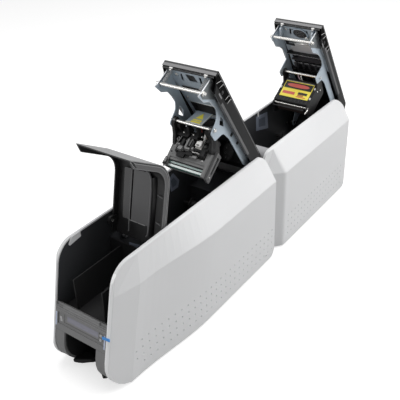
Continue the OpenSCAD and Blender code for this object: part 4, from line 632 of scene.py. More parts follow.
def front_cover_inside():
    """Lines of the flanges, the pale ones painted as highlights, their end pockets with rims of painted
    highlight, the inner pad with its ridge, and two stiffening fins.
    """
    inside = cover_piece("front_cover_inside", "front_cover", flange_painted_highlight, front_dark, flange_grey, pad_grey,
                         pad_edge, black_moulding)
    for s in (-1, 1):
        for x, outer, inner, finish in FLANGE_LINES:
            inside.slab(mirrored(s, FLANGE_X, x), cover_run(outer) + cover_run(inner)[::-1], finish, 0)
        inside.tube([(s * 50.4, *point) for point in POCKET_RIM], 0.45, 0, 8)
        inside.slab(mirrored(s, FLANGE_X, 50.35), POCKET_FLOOR, 5, 0)
    inside.panel(PAD_OUTLINE, (PAD_FACE_Z - 0.6, PAD_FACE_Z - 0.05), 3, 0.15)
    inside.panel(STRIP_OUTLINE, (PAD_FACE_Z + 0.6, PAD_FACE_Z + 1.4), 2, 0.3)
    inside.boxes(
        ((-21.2, -16.4), (-91, -8.6), (PAD_FACE_Z - 0.5, PAD_FACE_Z - 0.05), 2, 0.1),
        ((-17.4, -16.2), (-92, 11.5), (PAD_FACE_Z - 1.4, PAD_FACE_Z + 1.0), 4, 0.3))
    inside.tube(PAD_RIDGE, 1.7, 4, 14)
    slope = SLOPE_LOW + [(x, y, UNDER_SKIN) for x, y, z in SLOPE_LOW]
    inside.solid(slope, [
        (0, 1, 4, 5), (1, 2, 3, 4), (6, 11, 10, 7), (7, 10, 9, 8), (0, 5, 11, 6), (5, 4, 10, 11),
        (4, 3, 9, 10), (3, 2, 8, 9), (2, 1, 7, 8), (1, 0, 6, 7)], 1, 0, True)
    for x in ((-16.4, 0.2), (1.9, 16.5)):
        inside.box(x, (-8.9, -7.7), (PAD_FACE_Z - 1.3, PAD_FACE_Z), 0, 0.2)
    for y in (-62.5, -17.5):
        low, high = y - 0.8, y + 0.8
        inside.solid([
            (30.5, low, UNDER_SKIN), (47.4, low, UNDER_SKIN), (47.4, low, 6.5), (30.5, high, UNDER_SKIN),
            (47.4, high, UNDER_SKIN), (47.4, high, 6.5), (33, low, 12), (33, high, 12)],
            [(0, 1, 2, 6), (3, 7, 5, 4), (0, 6, 7, 3), (6, 2, 5, 7), (1, 4, 5, 2), (0, 3, 4, 1)], 3, 0.1)
    inside.done()


front_cover_inside()

# Faces of a lid's shell count as turned down or forwards from this value on
TURNED = -0.8
# Half widths: the lips' inner edge, the nose, and the thin forms on the outer sides
LIP_INNER_X = 49
NOSE_X = 51.9
SIDE_X = 51.8
# The lips end this far ahead of the hinge line; their faces on the shell start behind its front and end here
LIP_END = -52
LIP_FACES_FROM = 24
LIP_FACES_TO = -44


def lid_finish(lid):
    """The lips along a lid's lower edges and its nose have their own greys."""
    front = -LIDS[lid][0]

    def choose(at, facing):
        p = local_of(lid, at)
        n = local_of(lid, at + facing * MM) - p
        if n.z < TURNED and abs(p.x) > LIP_INNER_X and front + LIP_FACES_FROM < p.y < LIP_FACES_TO:
            return 1
        if n.y < TURNED and p.y < front + 1:
            return 2
        return 0
    return choose


def lid_nose_bars(lid):
    """Stepped front of a lid: a pale rib, and below it a narrow gap with ticks and two light hooks."""
    front, top = -LIDS[lid][0], LIDS[lid][1]
    bar = cover_piece(lid + "_nose", lid, lid_nose_rib, black_moulding, hook_white, lid_nose)
    bar.boxes(
        ((-NOSE_X, NOSE_X), (front - 0.15, front + 0.3), (top - 10.3, top - 4.5), 0, 0.15),
        ((-NOSE_X, NOSE_X), (front - 0.1, front + 0.2), (top - 4.3, top - 3.7), 1, 0.05),
        ((-49, 49), (front + 1.2, front + 4), (top - 13.6, top - 10.7), 1, 0.2))
    for x in (-18, -4, 12, 24):
        bar.box((x, x + 1.0), (front + 0.9, front + 1.4), (top - 13.2, top - 11.0), 3, 0.1)
    for x in (-36.5, 31.5):
        bar.box((x, x + 7.0), (front + 0.2, front + 2.2), (top - 14.2, top - 10.9), 2, 0.5)
        bar.box((x + 1.5, x + 5.5), (front + 1.2, front + 3), (top - 17.2, top - 13.8), 2, 0.6)
    bar.done()


def lid_lips(lid):
    """Lips and borders along the lower and upper edges of a lid's flanges, dark gaps beside the frame."""
    length, top, low = LIDS[lid]
    front = -length
    lips = cover_piece(lid + "_lips", lid, lid_lip, lid_dark, black_moulding, lid_border)
    for s in (-1, 1):
        lips.boxes(
            (mirrored(s, 46.2, 51.6), (front + 46, LIP_END), (low + 0.1, low + 1.4), 0, 0.5),
            (mirrored(s, 51.7, 52.2), (front + 52, LIP_END), (low + 0.4, low + 5.6), 0, 0.2),
            (mirrored(s, 51.7, 52.1), (front + 4, -20), (top - 3.0, top - 1.0), 3, 0.2),
            (mirrored(s, 45.0, 46.2), (front + 40, LIP_END + 6), (low + 0.6, low + 8), 1, 0.3),
            (mirrored(s, 43.4, 44.6), (front + 14, LIP_END + 8), (low + 4, low + 14), 2, 0.2))
    lips.done()


# Each rib of a latch opening: its foot behind the front, how far it bends, and where it ends
LATCH_RIBS = [(12.5, 6.5, 10.5), (25.0, 3.0, 6.5), (54.5, 2.5, 6.0), (65.0, 1.5, 3.5)]


def latch_ribs(lid):
    """Latch openings in the flanges near a lid's free end: a flat black sheet stands for the opening as
    painted shade, and the pale silver of the bent ribs across it is a painted highlight.
    """
    front, top = -LIDS[lid][0], LIDS[lid][1]
    ribs = cover_piece(lid + "_ribs", lid, deep_black, silver_and_painted_highlight, black_moulding, lid_nose_rib)
    for s in (-1, 1):
        # painted shade: a flat black sheet on the flange for the shaded opening
        ribs.slab(mirrored(s, SIDE_X, 52.15), [
            (front + 3, top - 12), (front + 5, top - 3), (front + 64, top - 3), (front + 67, top - 6),
            (front + 60, top - 17), (front + 18, top - 17)], 0, 0)
        # painted highlight: the ribs are silver where the real black ribs only catch light
        for y, bend, lean in LATCH_RIBS:
            ribs.tube([
                (s * 52.0, front + y, top - 15.5), (s * 52.15, front + y + bend * 0.6, top - 9),
                (s * 52.15, front + y + bend, top - 4.6), (s * 52.0, front + y + lean, top - 3.2)], 0.5, 1, 8)
        ribs.box(mirrored(s, SIDE_X, 52.3), (front + 31, front + 45), (top - 22.5, top - 18.5), 3, 0.5)
        ribs.disc((s * 52.0, front + 38, top - 13.5), (s, 0, 0), 3.6, 0.5, 2, 20)
    ribs.done()


# Cut edges of each frame's cheeks in (y, z): the nose, then the run below it
FOLD_EDGES = {
    "printer_lid": ([(-247.4, 17), (-250.0, -13.7), (-252.0, -21.2)],
                    [(-252.0, -21.2), (-232.4, -17.1), (-219.7, -6.4), (-193.0, -1.7)]),
    "laminator_lid": ([(-251.3, 66), (-253.9, 41.3), (-253.9, 33.6)],
                      [(-253.9, 33.6), (-223.5, 36.0), (-211.5, 45.2), (-194.8, 52.5)])}
# Half width of a frame at its cheeks, and depth of its roof's lower face under the lid's top
CHEEK_X = 42.0
ROOF_DEPTH = 12.6


def frame_folds(name, lid):
    """Cut edges painted white as highlights, patches of darker zinc as painted shade beside the bends, screws
    and dark slots of a lid's steel frame.
    """
    front, top = -LIDS[lid][0], LIDS[lid][1]
    nose, edge = FOLD_EDGES[lid]
    folds = cover_piece(name, lid, fold_painted_highlight, zinc_painted_shade, ground_steel, black_moulding, blue_painted_shade)
    for s in (-1, 1):
        # painted highlight: white tubes along the cut edges
        folds.tube([(s * CHEEK_X, *point) for point in nose], 1.0, 0, 10)
        folds.tube([(s * CHEEK_X, *point) for point in edge], 0.55, 0, 8)
        # painted shade: the cheek above its bend line in a darker zinc
        folds.slab(mirrored(s, 42.45, 42.7), [
            (front + 5.6, top - 14), (front + 48, top - 14), (front + 54, top - 17), (front + 15, top - 47),
            (front + 4.6, top - 47)], 1, 0)
        folds.box(mirrored(s, 42.6, 44.4), (front + 6, front + 54), (top - 15, top - 11.4), 3, 0.1)
    # painted shade: a dark blue strip on the left cheek beside its lit edge
    folds.slab((-41.1, -40.7), [
        (front + 6, top - 14), (front + 9, top - 14), (front + 5.6, top - 44), (front + 3.4, top - 44)], 4, 0)
    roof = top - ROOF_DEPTH
    for x, y, radius in ((-28.1, 14.3, 2.8), (-33.5, 77, 2.6), (30.5, 66, 2.2)):
        folds.screw((x, front + y, roof), (0, 0, -1), radius, 2, 3)
    folds.box((-31, 36), (front + 43.6, front + 48.6), (roof - 0.7, roof - 0.2), 3, 0.1)
    folds.tube([(-30, front + 52, roof - 2.2), (37, front + 52, roof - 2.2)], 1.7, 2)
    folds.boxes(
        ((-34, 37), (front + 54.4, front + 57.6), (roof - 0.8, roof - 0.2), 3, 0.1),
        ((-37, 37), (front + 119.4, front + 121), (roof - 1.0, roof + 0.4), 2, 0.3),
        ((-37, 37), (front + 87.4, front + 88.8), (roof - 0.6, roof + 0.4), 2, 0.2),
        ((-9.5, 9.5), (front + 10.5, front + 27.5), (roof + 1.9, roof + 2.4), 3, 0.1))
    folds.done()


for lid in LIDS:
    dressed_copy(lid + "_shell", lid, (lid_dark, lid_lip, lid_nose), lid_finish(lid))
for dress_lid in (lid_nose_bars, lid_lips, latch_ribs):
    for lid in LIDS:
        dress_lid(lid)
frame_folds("printer_frame_folds", "printer_lid")
frame_folds("laminator_frame_folds", "laminator_lid")

# Outlines in (y, z) of the head's linkage and of the arms that carry it
LINK_ARM = [(-166, -31), (-160, -33.5), (-134, -36), (-134, -26), (-152, -20), (-163, -21)]
LINK_WEB = [(-165, -31), (-150, -36), (-140, -36), (-146, -24), (-160, -22.5)]
ARM_COVER = [(-174.5, -24), (-171, -33.5), (-152, -43), (-138.5, -55.5), (-113, -42.6), (-125.5, -34.2),
             (-151, -27.5), (-165, -19.6), (-171, -20)]
ARM_RECESS = [(-162, -30), (-150, -40), (-142, -45), (-136, -44), (-140, -38), (-154, -30)]


def head_piece(name, *finishes):
    return Piece(name, "print_head", ON_LID["printer_lid"], *finishes)


def head_linkage():
    """Black linkage between the head's shaft and its carriage."""
    linkage = head_piece("head_linkage", black_moulding, ground_steel, lid_dark, silver_and_painted_highlight)
    linkage.boxes(
        ((-34.2, -11), (-150, -126), (-41.5, -26.5), 0, 0.8),
        ((-6, 7), (-150, -124), (-41.5, -29), 0, 0.8),
        ((26, 33.8), (-150, -124), (-41.5, -29), 0, 0.8),
        ((-34.2, 33.8), (-128, -117), (-41.5, -22), 0, 0.8))
    for x in ((-34.4, -27), (24, 34.2)):
        linkage.slab(x, LINK_ARM, 0, 0.6)
    for x in ((-14, -9), (6, 10)):
        linkage.slab(x, LINK_WEB, 2, 0.5)
    linkage.tube([(-36, -141, -30.5), (34, -141, -30.5)], 1.4, 3)
    for x, radius in ((-42.9, 3.4), (43.6, 3.6)):
        linkage.disc((x, -168.5, -26.5), (1, 0, 0), radius, 0.9, 1)
    for x in (-22, -2, 15):
        linkage.screw((x, -150.2, -35), (0, -1, 0.2), 1.6, 1, 0)
    linkage.done()


def head_arm_covers():
    """Moulded covers on both arms."""
    arms = head_piece("head_arm_covers", black_moulding, lid_dark, hook_white)
    for s in (-1, 1):
        arms.slab(mirrored(s, 34.6, 40.5), ARM_COVER, 0, 0.5)
        arms.slab(mirrored(s, 40.3, 40.75), ARM_RECESS, 1, 0.1)
    arms.box((-40.9, -40.2), (-153.5, -149), (-37, -30.5), 2, 0.3)
    arms.done()


# Three levers on the carriage: range in x, outline in (y, z), finish
LEVERS = [
    ((-20.5, -15.5), [(-145, -60), (-142, -62), (-136, -60), (-136, -38), (-143, -38), (-146, -44)], 3),
    ((-9.5, -5.5), [(-147, -60), (-142, -62), (-136, -60), (-136, -36), (-143, -35), (-148, -42)], 1),
    ((-0.5, 3.5), [(-146, -58), (-141, -61), (-136, -60), (-136, -40), (-141, -38), (-146, -44)], 3)]
# Wire springs by the x and z of both ends
WIRES = [(-33, -41, -24, -60), (-30.5, -40, -26, -50), (-13, -40, -7, -58), (-2, -37, 2, -52)]
# The bent bar on the carriage in (x, z), the coil spring beside it, and the lean of the carriage's front
ARCH = [(-25.5, -54), (-24.5, -40.5), (-19, -33.2), (-11, -31.6), (-4.5, -35.5), (-2.2, -45), (-1.5, -56)]
COIL_MIDDLE = (-27.5, -144, -46)
COIL_R = 1.9
COIL_STEP = 1.15
COIL_RISE = 0.42
COIL_POINTS = 40
FRONT_FACING = (0, -1, 0.16)


def head_mechanism():
    """The mechanism on the carriage's front: bars, levers, wire springs, blocks and two leads."""
    works = head_piece("head_mechanism", black_moulding, mid_grey, silver_and_painted_highlight, dark_moulding, hook_white,
                       red_lead, orange_lead)
    works.box((-27, -22.5), (-141.5, -128), (-68, -44), 0, 0.5)
    works.tube([(x, -145.5, z) for x, z in ARCH], 2.3, 0)
    # painted highlight: a thin grey tube along the top of the black bar
    works.tube([(x + 0.8, -147.5, z + 0.7) for x, z in ARCH], 0.7, 1, 8)
    works.tube([(x * 0.72 - 4, -141.5, z * 0.9 - 6) for x, z in ARCH], 1.7, 3)
    for x, outline, finish in LEVERS:
        works.slab(x, outline, finish, 0.5)
    for x0, z0, x1, z1 in WIRES:
        dx, dz = x1 - x0, z1 - z0
        works.tube([(x0, -143, z0), (x0 + 0.35 * dx, -147, z0 + 0.4 * dz),
                    (x0 + 0.7 * dx, -145, z0 + 0.6 * dz), (x1, -142, z1)], 0.55, 2, 8)
    turns = [(i, COIL_STEP * i) for i in range(COIL_POINTS)]
    works.tube([(COIL_MIDDLE[0] + COIL_R * math.cos(t), COIL_MIDDLE[1] + COIL_R * math.sin(t),
                 COIL_MIDDLE[2] - COIL_RISE * i) for i, t in turns], 0.4, 2, 6)
    works.boxes(
        ((-22, -12), (-146, -137), (-66, -57.5), 1, 0.9),
        ((-24, -19), (-147, -138), (-59, -54), 1, 0.9),
        ((-9, 3), (-147, -137), (-63, -57.8), 1, 0.9),
        ((3, 8), (-145, -137), (-60, -54), 1, 0.8),
        ((-20, -5), (-141.5, -136.5), (-76, -66), 0, 0.5),
        ((-4, 10), (-143, -136.5), (-70, -63.5), 0, 0.7),
        ((8, 28), (-141.5, -136.8), (-58.5, -53.5), 3, 0.7))
    works.tube([(9, -144, -56), (14, -146, -60), (20, -145, -57), (27, -143, -60)], 1.3, 0)
    works.tube([(6, -144, -61), (12, -147, -64.5), (20, -146, -63.5), (26, -142, -65)], 0.9, 2, 8)
    works.boxes(
        ((20, 33), (-142, -137), (-54, -42.5), 0, 0.9),
        ((23, 31), (-144.5, -138), (-66, -54.8), 0, 0.9))
    works.disc((27, -144, -47), (0, -1, 0.15), 3.2, 1.4, 3, 20)
    works.box((5, 19), (-140.4, -138.6), (-72, -66.5), 1, 0.5)
    works.screw((31.5, -139.4, -72), FRONT_FACING, 1.8, 2, 0)
    works.screw((-33, -138.6, -70), FRONT_FACING, 1.5, 0, 3)
    works.screw((-31, -137.9, -50), FRONT_FACING, 1.4, 0, 3)
    works.tube([(8, -146, -30), (9.5, -150, -26), (10, -157, -24)], 0.8, 5, 8)
    works.tube([(22, -146, -33), (25, -150, -29), (25.5, -158, -26.5)], 0.9, 6, 8)
    works.done()


# The white lead's own route, as steps from where it leaves the plug
LEAD_START = (12, -131, -50)
LEAD_ROUTE = [(0, -0.2, 3), (0, -1, 7), (0.5, -2.5, 11), (1.5, -5, 15), (3, -9, 18.5), (5, -14, 21),
              (7, -19, 22.5)]
LEAD_SLEEVE_R = 2.3


def head_plug_cap():
    """White plug with the sleeve of its lead."""
    plug = head_piece("head_plug_cap", plug_white, dark_moulding)
    plug.boxes(
        ((7.2, 17.8), (-145.5, -138.5), (-51, -41), 0, 1.2),
        ((9, 16), (-143, -133.5), (-41.4, -38), 0, 0.8),
        ((9.5, 15.5), (-146, -145.2), (-50, -47.5), 1, 0.2))
    route = [tuple(LEAD_START[i] + step[i] for i in range(3)) for step in LEAD_ROUTE]
    plug.tube(route, LEAD_SLEEVE_R, 0, 14)
    plug.done()


# Half width of the print line's strips, and each strip's outline in (y, z), finish and soft edge
STRIP_X = 36.2
STRIPS = [([(-130.9, -73.5), (-129.6, -80.6), (-126.9, -81.2), (-128.6, -73.5)], 1, 0.3),
          ([(-129.6, -80.7), (-129.3, -81.9), (-126.4, -81.9), (-126.6, -80.7)], 0, 0.1),
          ([(-125.7, -84.9), (-125.2, -84.9), (-124.4, -86.9), (-124.9, -86.9)], 0, 0.05),
          ([(-124.9, -86.9), (-124.3, -86.9), (-122.9, -90.2), (-123.5, -90.2)], 4, 0.05)]
SIDE_STRIP = [(-130.5, -46), (-122.5, -93), (-120.5, -93), (-128.5, -46)]


def head_strip_rims():
    """Rims and strips along the print line, a block at its left end and rails on both sides."""
    rims = head_piece("head_strip_rims", black_moulding, carriage_grey, silver_and_painted_highlight, lid_dark, pale_glaze)
    for outline, finish, soften in STRIPS:
        rims.slab((-STRIP_X, STRIP_X), outline, finish, soften)
    rims.box((-44.2, -36.6), (-131, -121), (-92.5, -77.5), 0, 0.6)
    rims.box((-42.5, -38), (-133, -130.8), (-90, -80), 1, 0.4)
    for i in range(3):
        rims.box((-43, -37.5), (-133.6, -132.6), (-88.5 + 3.4 * i, -87.3 + 3.4 * i), 2, 0.2)
    for s in (-1, 1):
        rims.slab(mirrored(s, 45.1, 46.6), SIDE_STRIP, 1, 0.2)
        rims.screw((s * 46.3, -118, -88), (s, 0, 0), 2.0, 2, 0)
    rims.done()


# The guard plate's lower edge in (y, z) and its direction upwards
GUARD_LOW = (-169.3, -23.7)
GUARD_ALONG = (0.389, 0.921)


def on_guard(x, along, out):
    """Places points given across, up along and out of the guard plate."""
    y = GUARD_LOW[0] + GUARD_ALONG[0] * along - GUARD_ALONG[1] * out
    z = GUARD_LOW[1] + GUARD_ALONG[1] * along + GUARD_ALONG[0] * out
    return ON_LID["printer_lid"](x, y, z)


def guard_patches():
    """Two plain yellow patches on the guard plate, and its folded edges painted white as highlights."""
    patch = Piece("guard_patches", "print_head", on_guard, patch_yellow, fold_painted_highlight, zinc_sheet)
    for outline, z, finish, soften in (
            ([(-6.4, 14.6), (8.2, 14.2), (-0.9, 30.5)], (0.15, 0.4), 0, 0.05),
            ([(-7.6, 11.2), (9.2, 11.4), (10.8, 1.6), (-8.9, 1.6)], (0.15, 0.4), 0, 0.05),
            ([(-8.2, 7.2), (10.0, 7.2), (10.2, 5.8), (-8.4, 5.8)], (0.2, 0.45), 2, 0.05),
            ([(-17, -0.8), (15, -0.8), (15, 0.8), (-17, 0.8)], (0.1, 0.9), 1, 0.1),
            ([(13.4, 0.8), (15, 0.8), (15, 34), (13.4, 34)], (0.1, 0.6), 1, 0.1)):
        patch.panel(outline, z, finish, soften)
    patch.done()


head_linkage()
head_arm_covers()
head_mechanism()
head_plug_cap()
head_strip_rims()
guard_patches()

# Heater: the patches' thickness in y, and an oval from a circle whose ends are squared a little
PATCH_Y = (-135.15, -134.9)
OVAL_Y = (-135.35, -135.1)
OVAL_SIDES = 32
OVAL_SQUARE = 0.7


def oval_point(y, t):
    """A point of the oval patch at the angle t."""
    squared = math.copysign(abs(math.cos(t)) ** OVAL_SQUARE, math.cos(t))
    return (25.5 * squared - 0.4, y, 10.6 + 4.6 * math.sin(t))


def heater_patches():
    """Plain coloured patches on the heater's name plate."""
    label = Piece("heater_patches", "heater", ON_LID["laminator_lid"], patch_yellow, patch_dark, patch_red,
                  patch_orange)
    label.box((-31.6, 31.6), PATCH_Y, (2.2, 18.3), 1, 0.05)
    low, high = ([oval_point(y, t) for t in circle(OVAL_SIDES)] for y in OVAL_Y)
    label.prism(low, high, 2)
    label.boxes(
        ((-29, -1), PATCH_Y, (-12.5, -5.5), 2, 0.05),
        ((6, 27), PATCH_Y, (-9.5, -3.5), 1, 0.05),
        ((7, 20), (-135.2, -134.95), (-13.6, -9.2), 3, 0.05),
        ((5, 26), PATCH_Y, (-16.4, -14.4), 2, 0.05))
    label.done()


# Ribs of the heater's body: how many, the first one's middle, and their pitch
HEATER_RIBS = 9
HEATER_RIB_START = -34
HEATER_RIB_PITCH = 8.5


def heater_body_detail():
    """Ribbed body below the name plate, edge strips, bent rod, end screws and three pale clips."""
    body = Piece("heater_body_detail", "heater", ON_LID["laminator_lid"], black_moulding, dark_moulding,
                 ground_steel, silver_and_painted_highlight, hook_white)
    body.box((-33.5, 33.5), (-135.4, -133.8), (20.3, 21.6), 3, 0.2)
    body.box((-39.6, 39.6), (-136, -128), (-31.5, -21.5), 0, 0.6)
    for i in range(HEATER_RIBS):
        x = HEATER_RIB_START + HEATER_RIB_PITCH * i
        body.box((x - 0.9, x + 0.9), (-137.2, -135.6), (-30.5, -22.5), 1, 0.4)
    body.box((-36, 36), (-136.6, -133.6), (-46.5, -44.5), 0, 0.4)
    body.tube([(41.2, -131, -34), (42.6, -133, -40), (42.8, -134.5, -50)], 1.1, 2)
    body.box((41.8, 43.8), (-136.4, -134), (-52.5, -46.5), 2, 0.4)
    for s in (-1, 1):
        for y, z in ((-126, 12), (-119, 22)):
            body.screw((s * 40.2, y, z), (s, 0, 0), 2.0, 2, 0)
    body.boxes(
        ((-38, 38), (-133.6, -120), (22.5, 26.6), 0, 0.5),
        ((-38.6, -35.4), (-136.6, -134.2), (-2, 4), 4, 0.3),
        ((35.6, 38.4), (-136.6, -134.2), (8, 13), 4, 0.3),
        ((35.6, 38.4), (-136.6, -134.2), (-17, -12), 4, 0.3))
    body.done()


# Inside the laminator lid: the cross plate in (x, y), its dark opening, and the oval hole's rim
CROSS_PLATE = [(-19.5, -209.6), (12.7, -211), (30, -211), (30, -178), (8.9, -176), (-28.3, -176),
               (-30.3, -192), (-18.9, -193.8)]
CROSS_OPENING = [(-40, -209.6), (-20.2, -209.6), (-19.6, -194.4), (-40, -194.4)]
RING_SIDES = 28
RING = [(2 + 16 * math.cos(t), -236 + 14 * math.sin(t)) for t in circle(RING_SIDES)]
BRACKET = [(-252, 66.5), (-252, 58), (-240, 50), (-236, 52), (-236, 66.5)]


def laminator_cross_plate():
    """Polished plate with its opening, the rimmed oval hole with slats, a gear and two brackets."""
    cross = cover_piece("laminator_cross_plate", "laminator_lid", polished, black_moulding, zinc_sheet,
                        ground_steel, dark_moulding)
    cross.panel(CROSS_PLATE, (66.2, 66.8), 0, 0.1)
    cross.panel(CROSS_OPENING, (66.6, 67.1), 1, 0.05)
    cross.panel(RING, (66.9, 67.2), 1, 0.05)
    for i in range(RING_SIDES):
        cross.tube([(*RING[i], 66.2), (*RING[(i + 1) % RING_SIDES], 66.2)], 1.4, 2, 8)
    for i in range(5):
        cross.box((-16 + i, 12 - i), (-246 + 5 * i, -244.8 + 5 * i), (66.4, 66.8), 4, 0.1)
    cross.disc((15.5, -227, 64.5), (0, 0, 1), 4.2, 4.6, 3)
    cross.disc((15.5, -227, 61.9), (0, 0, 1), 2.6, 1.0, 2)
    for x in (-36.5, 33.5):
        cross.slab((x, x + 3), BRACKET, 2, 0.3)
    cross.box((-40.5, 40.5), (-176, -174.4), (58, 68), 1, 0.3)
    cross.done()


def laminator_lid_hollow():
    """Ribbed hollow of the laminator's lid, and the lip that closes the gap at its hinge."""
    hollow = cover_piece("laminator_lid_hollow", "laminator_lid", black_moulding, lid_dark, hollow_grey)
    for i in range(5):
        x = -30 + 15 * i
        hollow.slab((x, x + 1.6), [(-150, 77), (-150, 66), (-110, 60), (-60, 60), (-60, 77)], 2, 0.3)
    hollow.boxes(
        ((-38, 38), (-152, -149), (64, 77), 2, 0.4),
        ((-38, 38), (-174, -152), (75.6, 76.8), 2, 0.2),
        ((-38, 38), (-136.5, -120), (65.6, 67.0), 2, 0.2))
    for i in range(4):
        hollow.box((-27 + 15 * i, -19 + 15 * i), (-135, -122), (65.3, 65.7), 0, 0.1)
    hollow.boxes(
        ((-40, 40), (-122, -119), (61, 77), 0, 0.4),
        ((-49, 49), (13.2, 16.4), (2.2, 17), 0, 0.4))
    hollow.done()


# The drive wheel beside the print head: its middle in (y, z), and the circle and half side of its eight lugs
WHEEL_MIDDLE = (-95, -20)
LUG_CIRCLE = 12
LUG_HALF = 1.5


def printer_lid_hollow():
    """Floors and walls inside the printer's lid, a dark wheel with eight lugs, and two catches."""
    tray = cover_piece("printer_lid_hollow", "printer_lid", black_moulding, lid_dark, lid_lip, deep_black)
    tray.boxes(
        ((-36, 36), (-166, -122), (20.4, 21.4), 0, 0.4),
        ((7, 9), (-165, -123), (19.9, 20.5), 1, 0.2),
        ((-36, 36), (-123, -60), (15.5, 16.5), 0, 0.4),
        ((-38, 38), (-123, -120), (14, 27.6), 0, 0.4))
    tray.disc((37.4, *WHEEL_MIDDLE), (1, 0, 0), 17, 5.6, 3, 48)
    tray.disc((39.9, *WHEEL_MIDDLE), (1, 0, 0), 15, 0.8, 3, 48)
    for t in circle(8):
        y = WHEEL_MIDDLE[0] + LUG_CIRCLE * math.cos(t)
        z = WHEEL_MIDDLE[1] + LUG_CIRCLE * math.sin(t)
        tray.box((40.1, 40.6), (y - LUG_HALF, y + LUG_HALF), (z - LUG_HALF, z + LUG_HALF), 3, 0.2)
    tray.box((42.7, 44.4), (-121, -116.4), (-3, 3), 0, 0.3)
    tray.box((42.7, 44.4), (-92, -87.4), (0, 6), 0, 0.3)
    tray.done()


# The left walls' inner face, and pale patches on it as outlines in (y, z) with a darker middle
LEFT_WALL = -53.05
MIDDLE_SHARE = 0.55
WALL_PATCHES = [
    [(299.6, 201.4), (314.9, 208.5), (331.0, 186.3), (326.8, 173.6), (305.8, 173.5)],
    [(184.3, 134.9), (181.3, 113.5), (210.7, 112.8)],
    [(601.9, 208.1), (647.7, 202.4), (653.7, 162.2), (602.6, 175.5)]]


def wall_patches():
    """Plain patches, a hook and a brass pin on the left walls, a dark rail over the laminator's rear wall."""
    walls = Piece("wall_patches", "base", place, wall_label, hook_white, machined_brass, label_shade,
                  deep_black)
    for outline in WALL_PATCHES:
        walls.slab((LEFT_WALL, LEFT_WALL + 0.5), outline, 0, 0)
        my, mz = (sum(values) / len(outline) for values in zip(*outline))
        walls.slab((LEFT_WALL + 0.4, LEFT_WALL + 0.6), [
            (my + MIDDLE_SHARE * (y - my), mz + MIDDLE_SHARE * (z - mz)) for y, z in outline], 3, 0)
    walls.box((LEFT_WALL, LEFT_WALL + 0.65), (607.5, 612.5), (205, 216), 1, 0.2)
    walls.disc((LEFT_WALL + 0.6, 357.5, 125.3), (1, 0, 0), 1.8, 1.2, 2, 16)
    walls.box((-52.4, 52.4), (765.2, 767.3), (126.4, 128.6), 4, 0.3)
    walls.done()


# The display's dark frame in x and z, and the width of its lines
DISPLAY_X = (-35.4, 37.0)
DISPLAY_Z = (-7.6, 7.8)
LINE_WIDTH = 0.5


def display_bar_lines():
    """Pale ridges above the display bar painted as highlights along its grooves, dark lines round the
    display, a dark strip over the columns for their joint and the bar's painted shadow, a pale key.
    """
    trim = Piece("display_bar_lines", "base", ON_FACE, bezel_painted_highlight, bezel_line, key_pale)
    # painted highlight: pale ridges for the light along the grooves' edges
    for z in (11.9, 15.8, 18.6):
        trim.box((-52.5, 52.5), (-0.25, 0.3), (z, z + LINE_WIDTH), 0, 0.1)
    for x in DISPLAY_X:
        trim.box((x, x + LINE_WIDTH), (1.2, 1.6), (-7.6, 8.2), 1, 0)
    for z in DISPLAY_Z:
        trim.box((-35.4, 37.5), (1.2, 1.6), (z, z + LINE_WIDTH), 1, 0)
    # painted shadow: a dark strip on the columns under the bar's lower edge, where they join
    for x in ((-52.6, -33.4), (33.4, 52.6)):
        trim.box(x, (0.2, 0.9), (-23.7, -23.1), 1, 0)
    trim.box((-43.7, -39.3), (1.2, 1.6), (-7.6, -3.6), 2, 0.1)
    trim.done()


# Steps of the outlet bowl's underside: how far behind the front each starts, and its range of heights
BOWL_STEPS = [(8.5, (12.0, 18.0)), (10.5, (10.4, 14.0)), (13, (8.4, 11.0)), (16.5, (6.3, 9.0))]


def outlet_bowl_skirt():
    """Rounded underside of the outlet bowl on both sides of its finger slot."""
    skirt = Piece("outlet_bowl_skirt", "base", place, black_moulding)
    for s in (-1, 1):
        for front, z in BOWL_STEPS:
            skirt.panel([(s * 33, front), (s * (37 - front * 0.77), front), (s * 7.5, front + 15),
                         (s * 6.8, 33), (s * 33, 33)], z, 0, 0.3)
    skirt.done()


# The heater's leads start this far ahead of the hinge; the line between them leans each way from there
HEATER_FRONT = 134.0
LEADS_APART = -3.4
LEAN_DOWN = 0.58
LEAN_UP = 0.1


def wires_finish(at, facing):
    """Of the two heater leads, the one on the right is white."""
    p = local_of("laminator_lid", at)
    along = p.y + HEATER_FRONT
    return 0 if p.x > LEADS_APART + min(0, along) * LEAN_DOWN + max(0, along) * LEAN_UP else 1


heater_patches()
heater_body_detail()
laminator_cross_plate()
laminator_lid_hollow()
printer_lid_hollow()
wall_patches()
display_bar_lines()
outlet_bowl_skirt()
dressed_copy("heater_wires", "heater", (white_sleeve, pink_sleeve), wires_finish)

# Stage, lights and camera
FLOOR_HALF = 6.0
FLOOR_GREY = (0.55, 0.55, 0.55, 1)
FLOOR_GLOW = 0.62
# The world is white to the camera and through glass, and dimmer as a light
WORLD_SEEN = 0.62
WORLD_LIT = 0.38
# Width of the photograph and the focal length fitted to it, both in pixels
PHOTO_SIDE = 400
FOCAL_LENGTH = 637.674
SENSOR = 36
# The camera's place in millimetres from the printer's front, and its axes
CAMERA_AT = (582.271, -463.0, 759.430)
CAMERA_RIGHT = (0.81461, 0.57903, -0.0338)
CAMERA_DOWN = (0.27756, -0.44033, -0.85386)
CAMERA_AHEAD = (-0.50929, 0.68618, -0.51941)
CAMERA_REACH = 50
# Softboxes: name, place, the point each faces, its side and its power
SOFTBOXES = [
    ("overhead softbox", (0.2, 0.1, 1.9), (0, 0, 0.1), 1.8, 29),
    ("right softbox", (1.5, 1.2, 1.0), (0, 0.15, 0.1), 1.2, 19),
    ("front softbox", (-1.7, -2.0, 1.0), (0, -0.2, 0.1), 1.2, 17)]


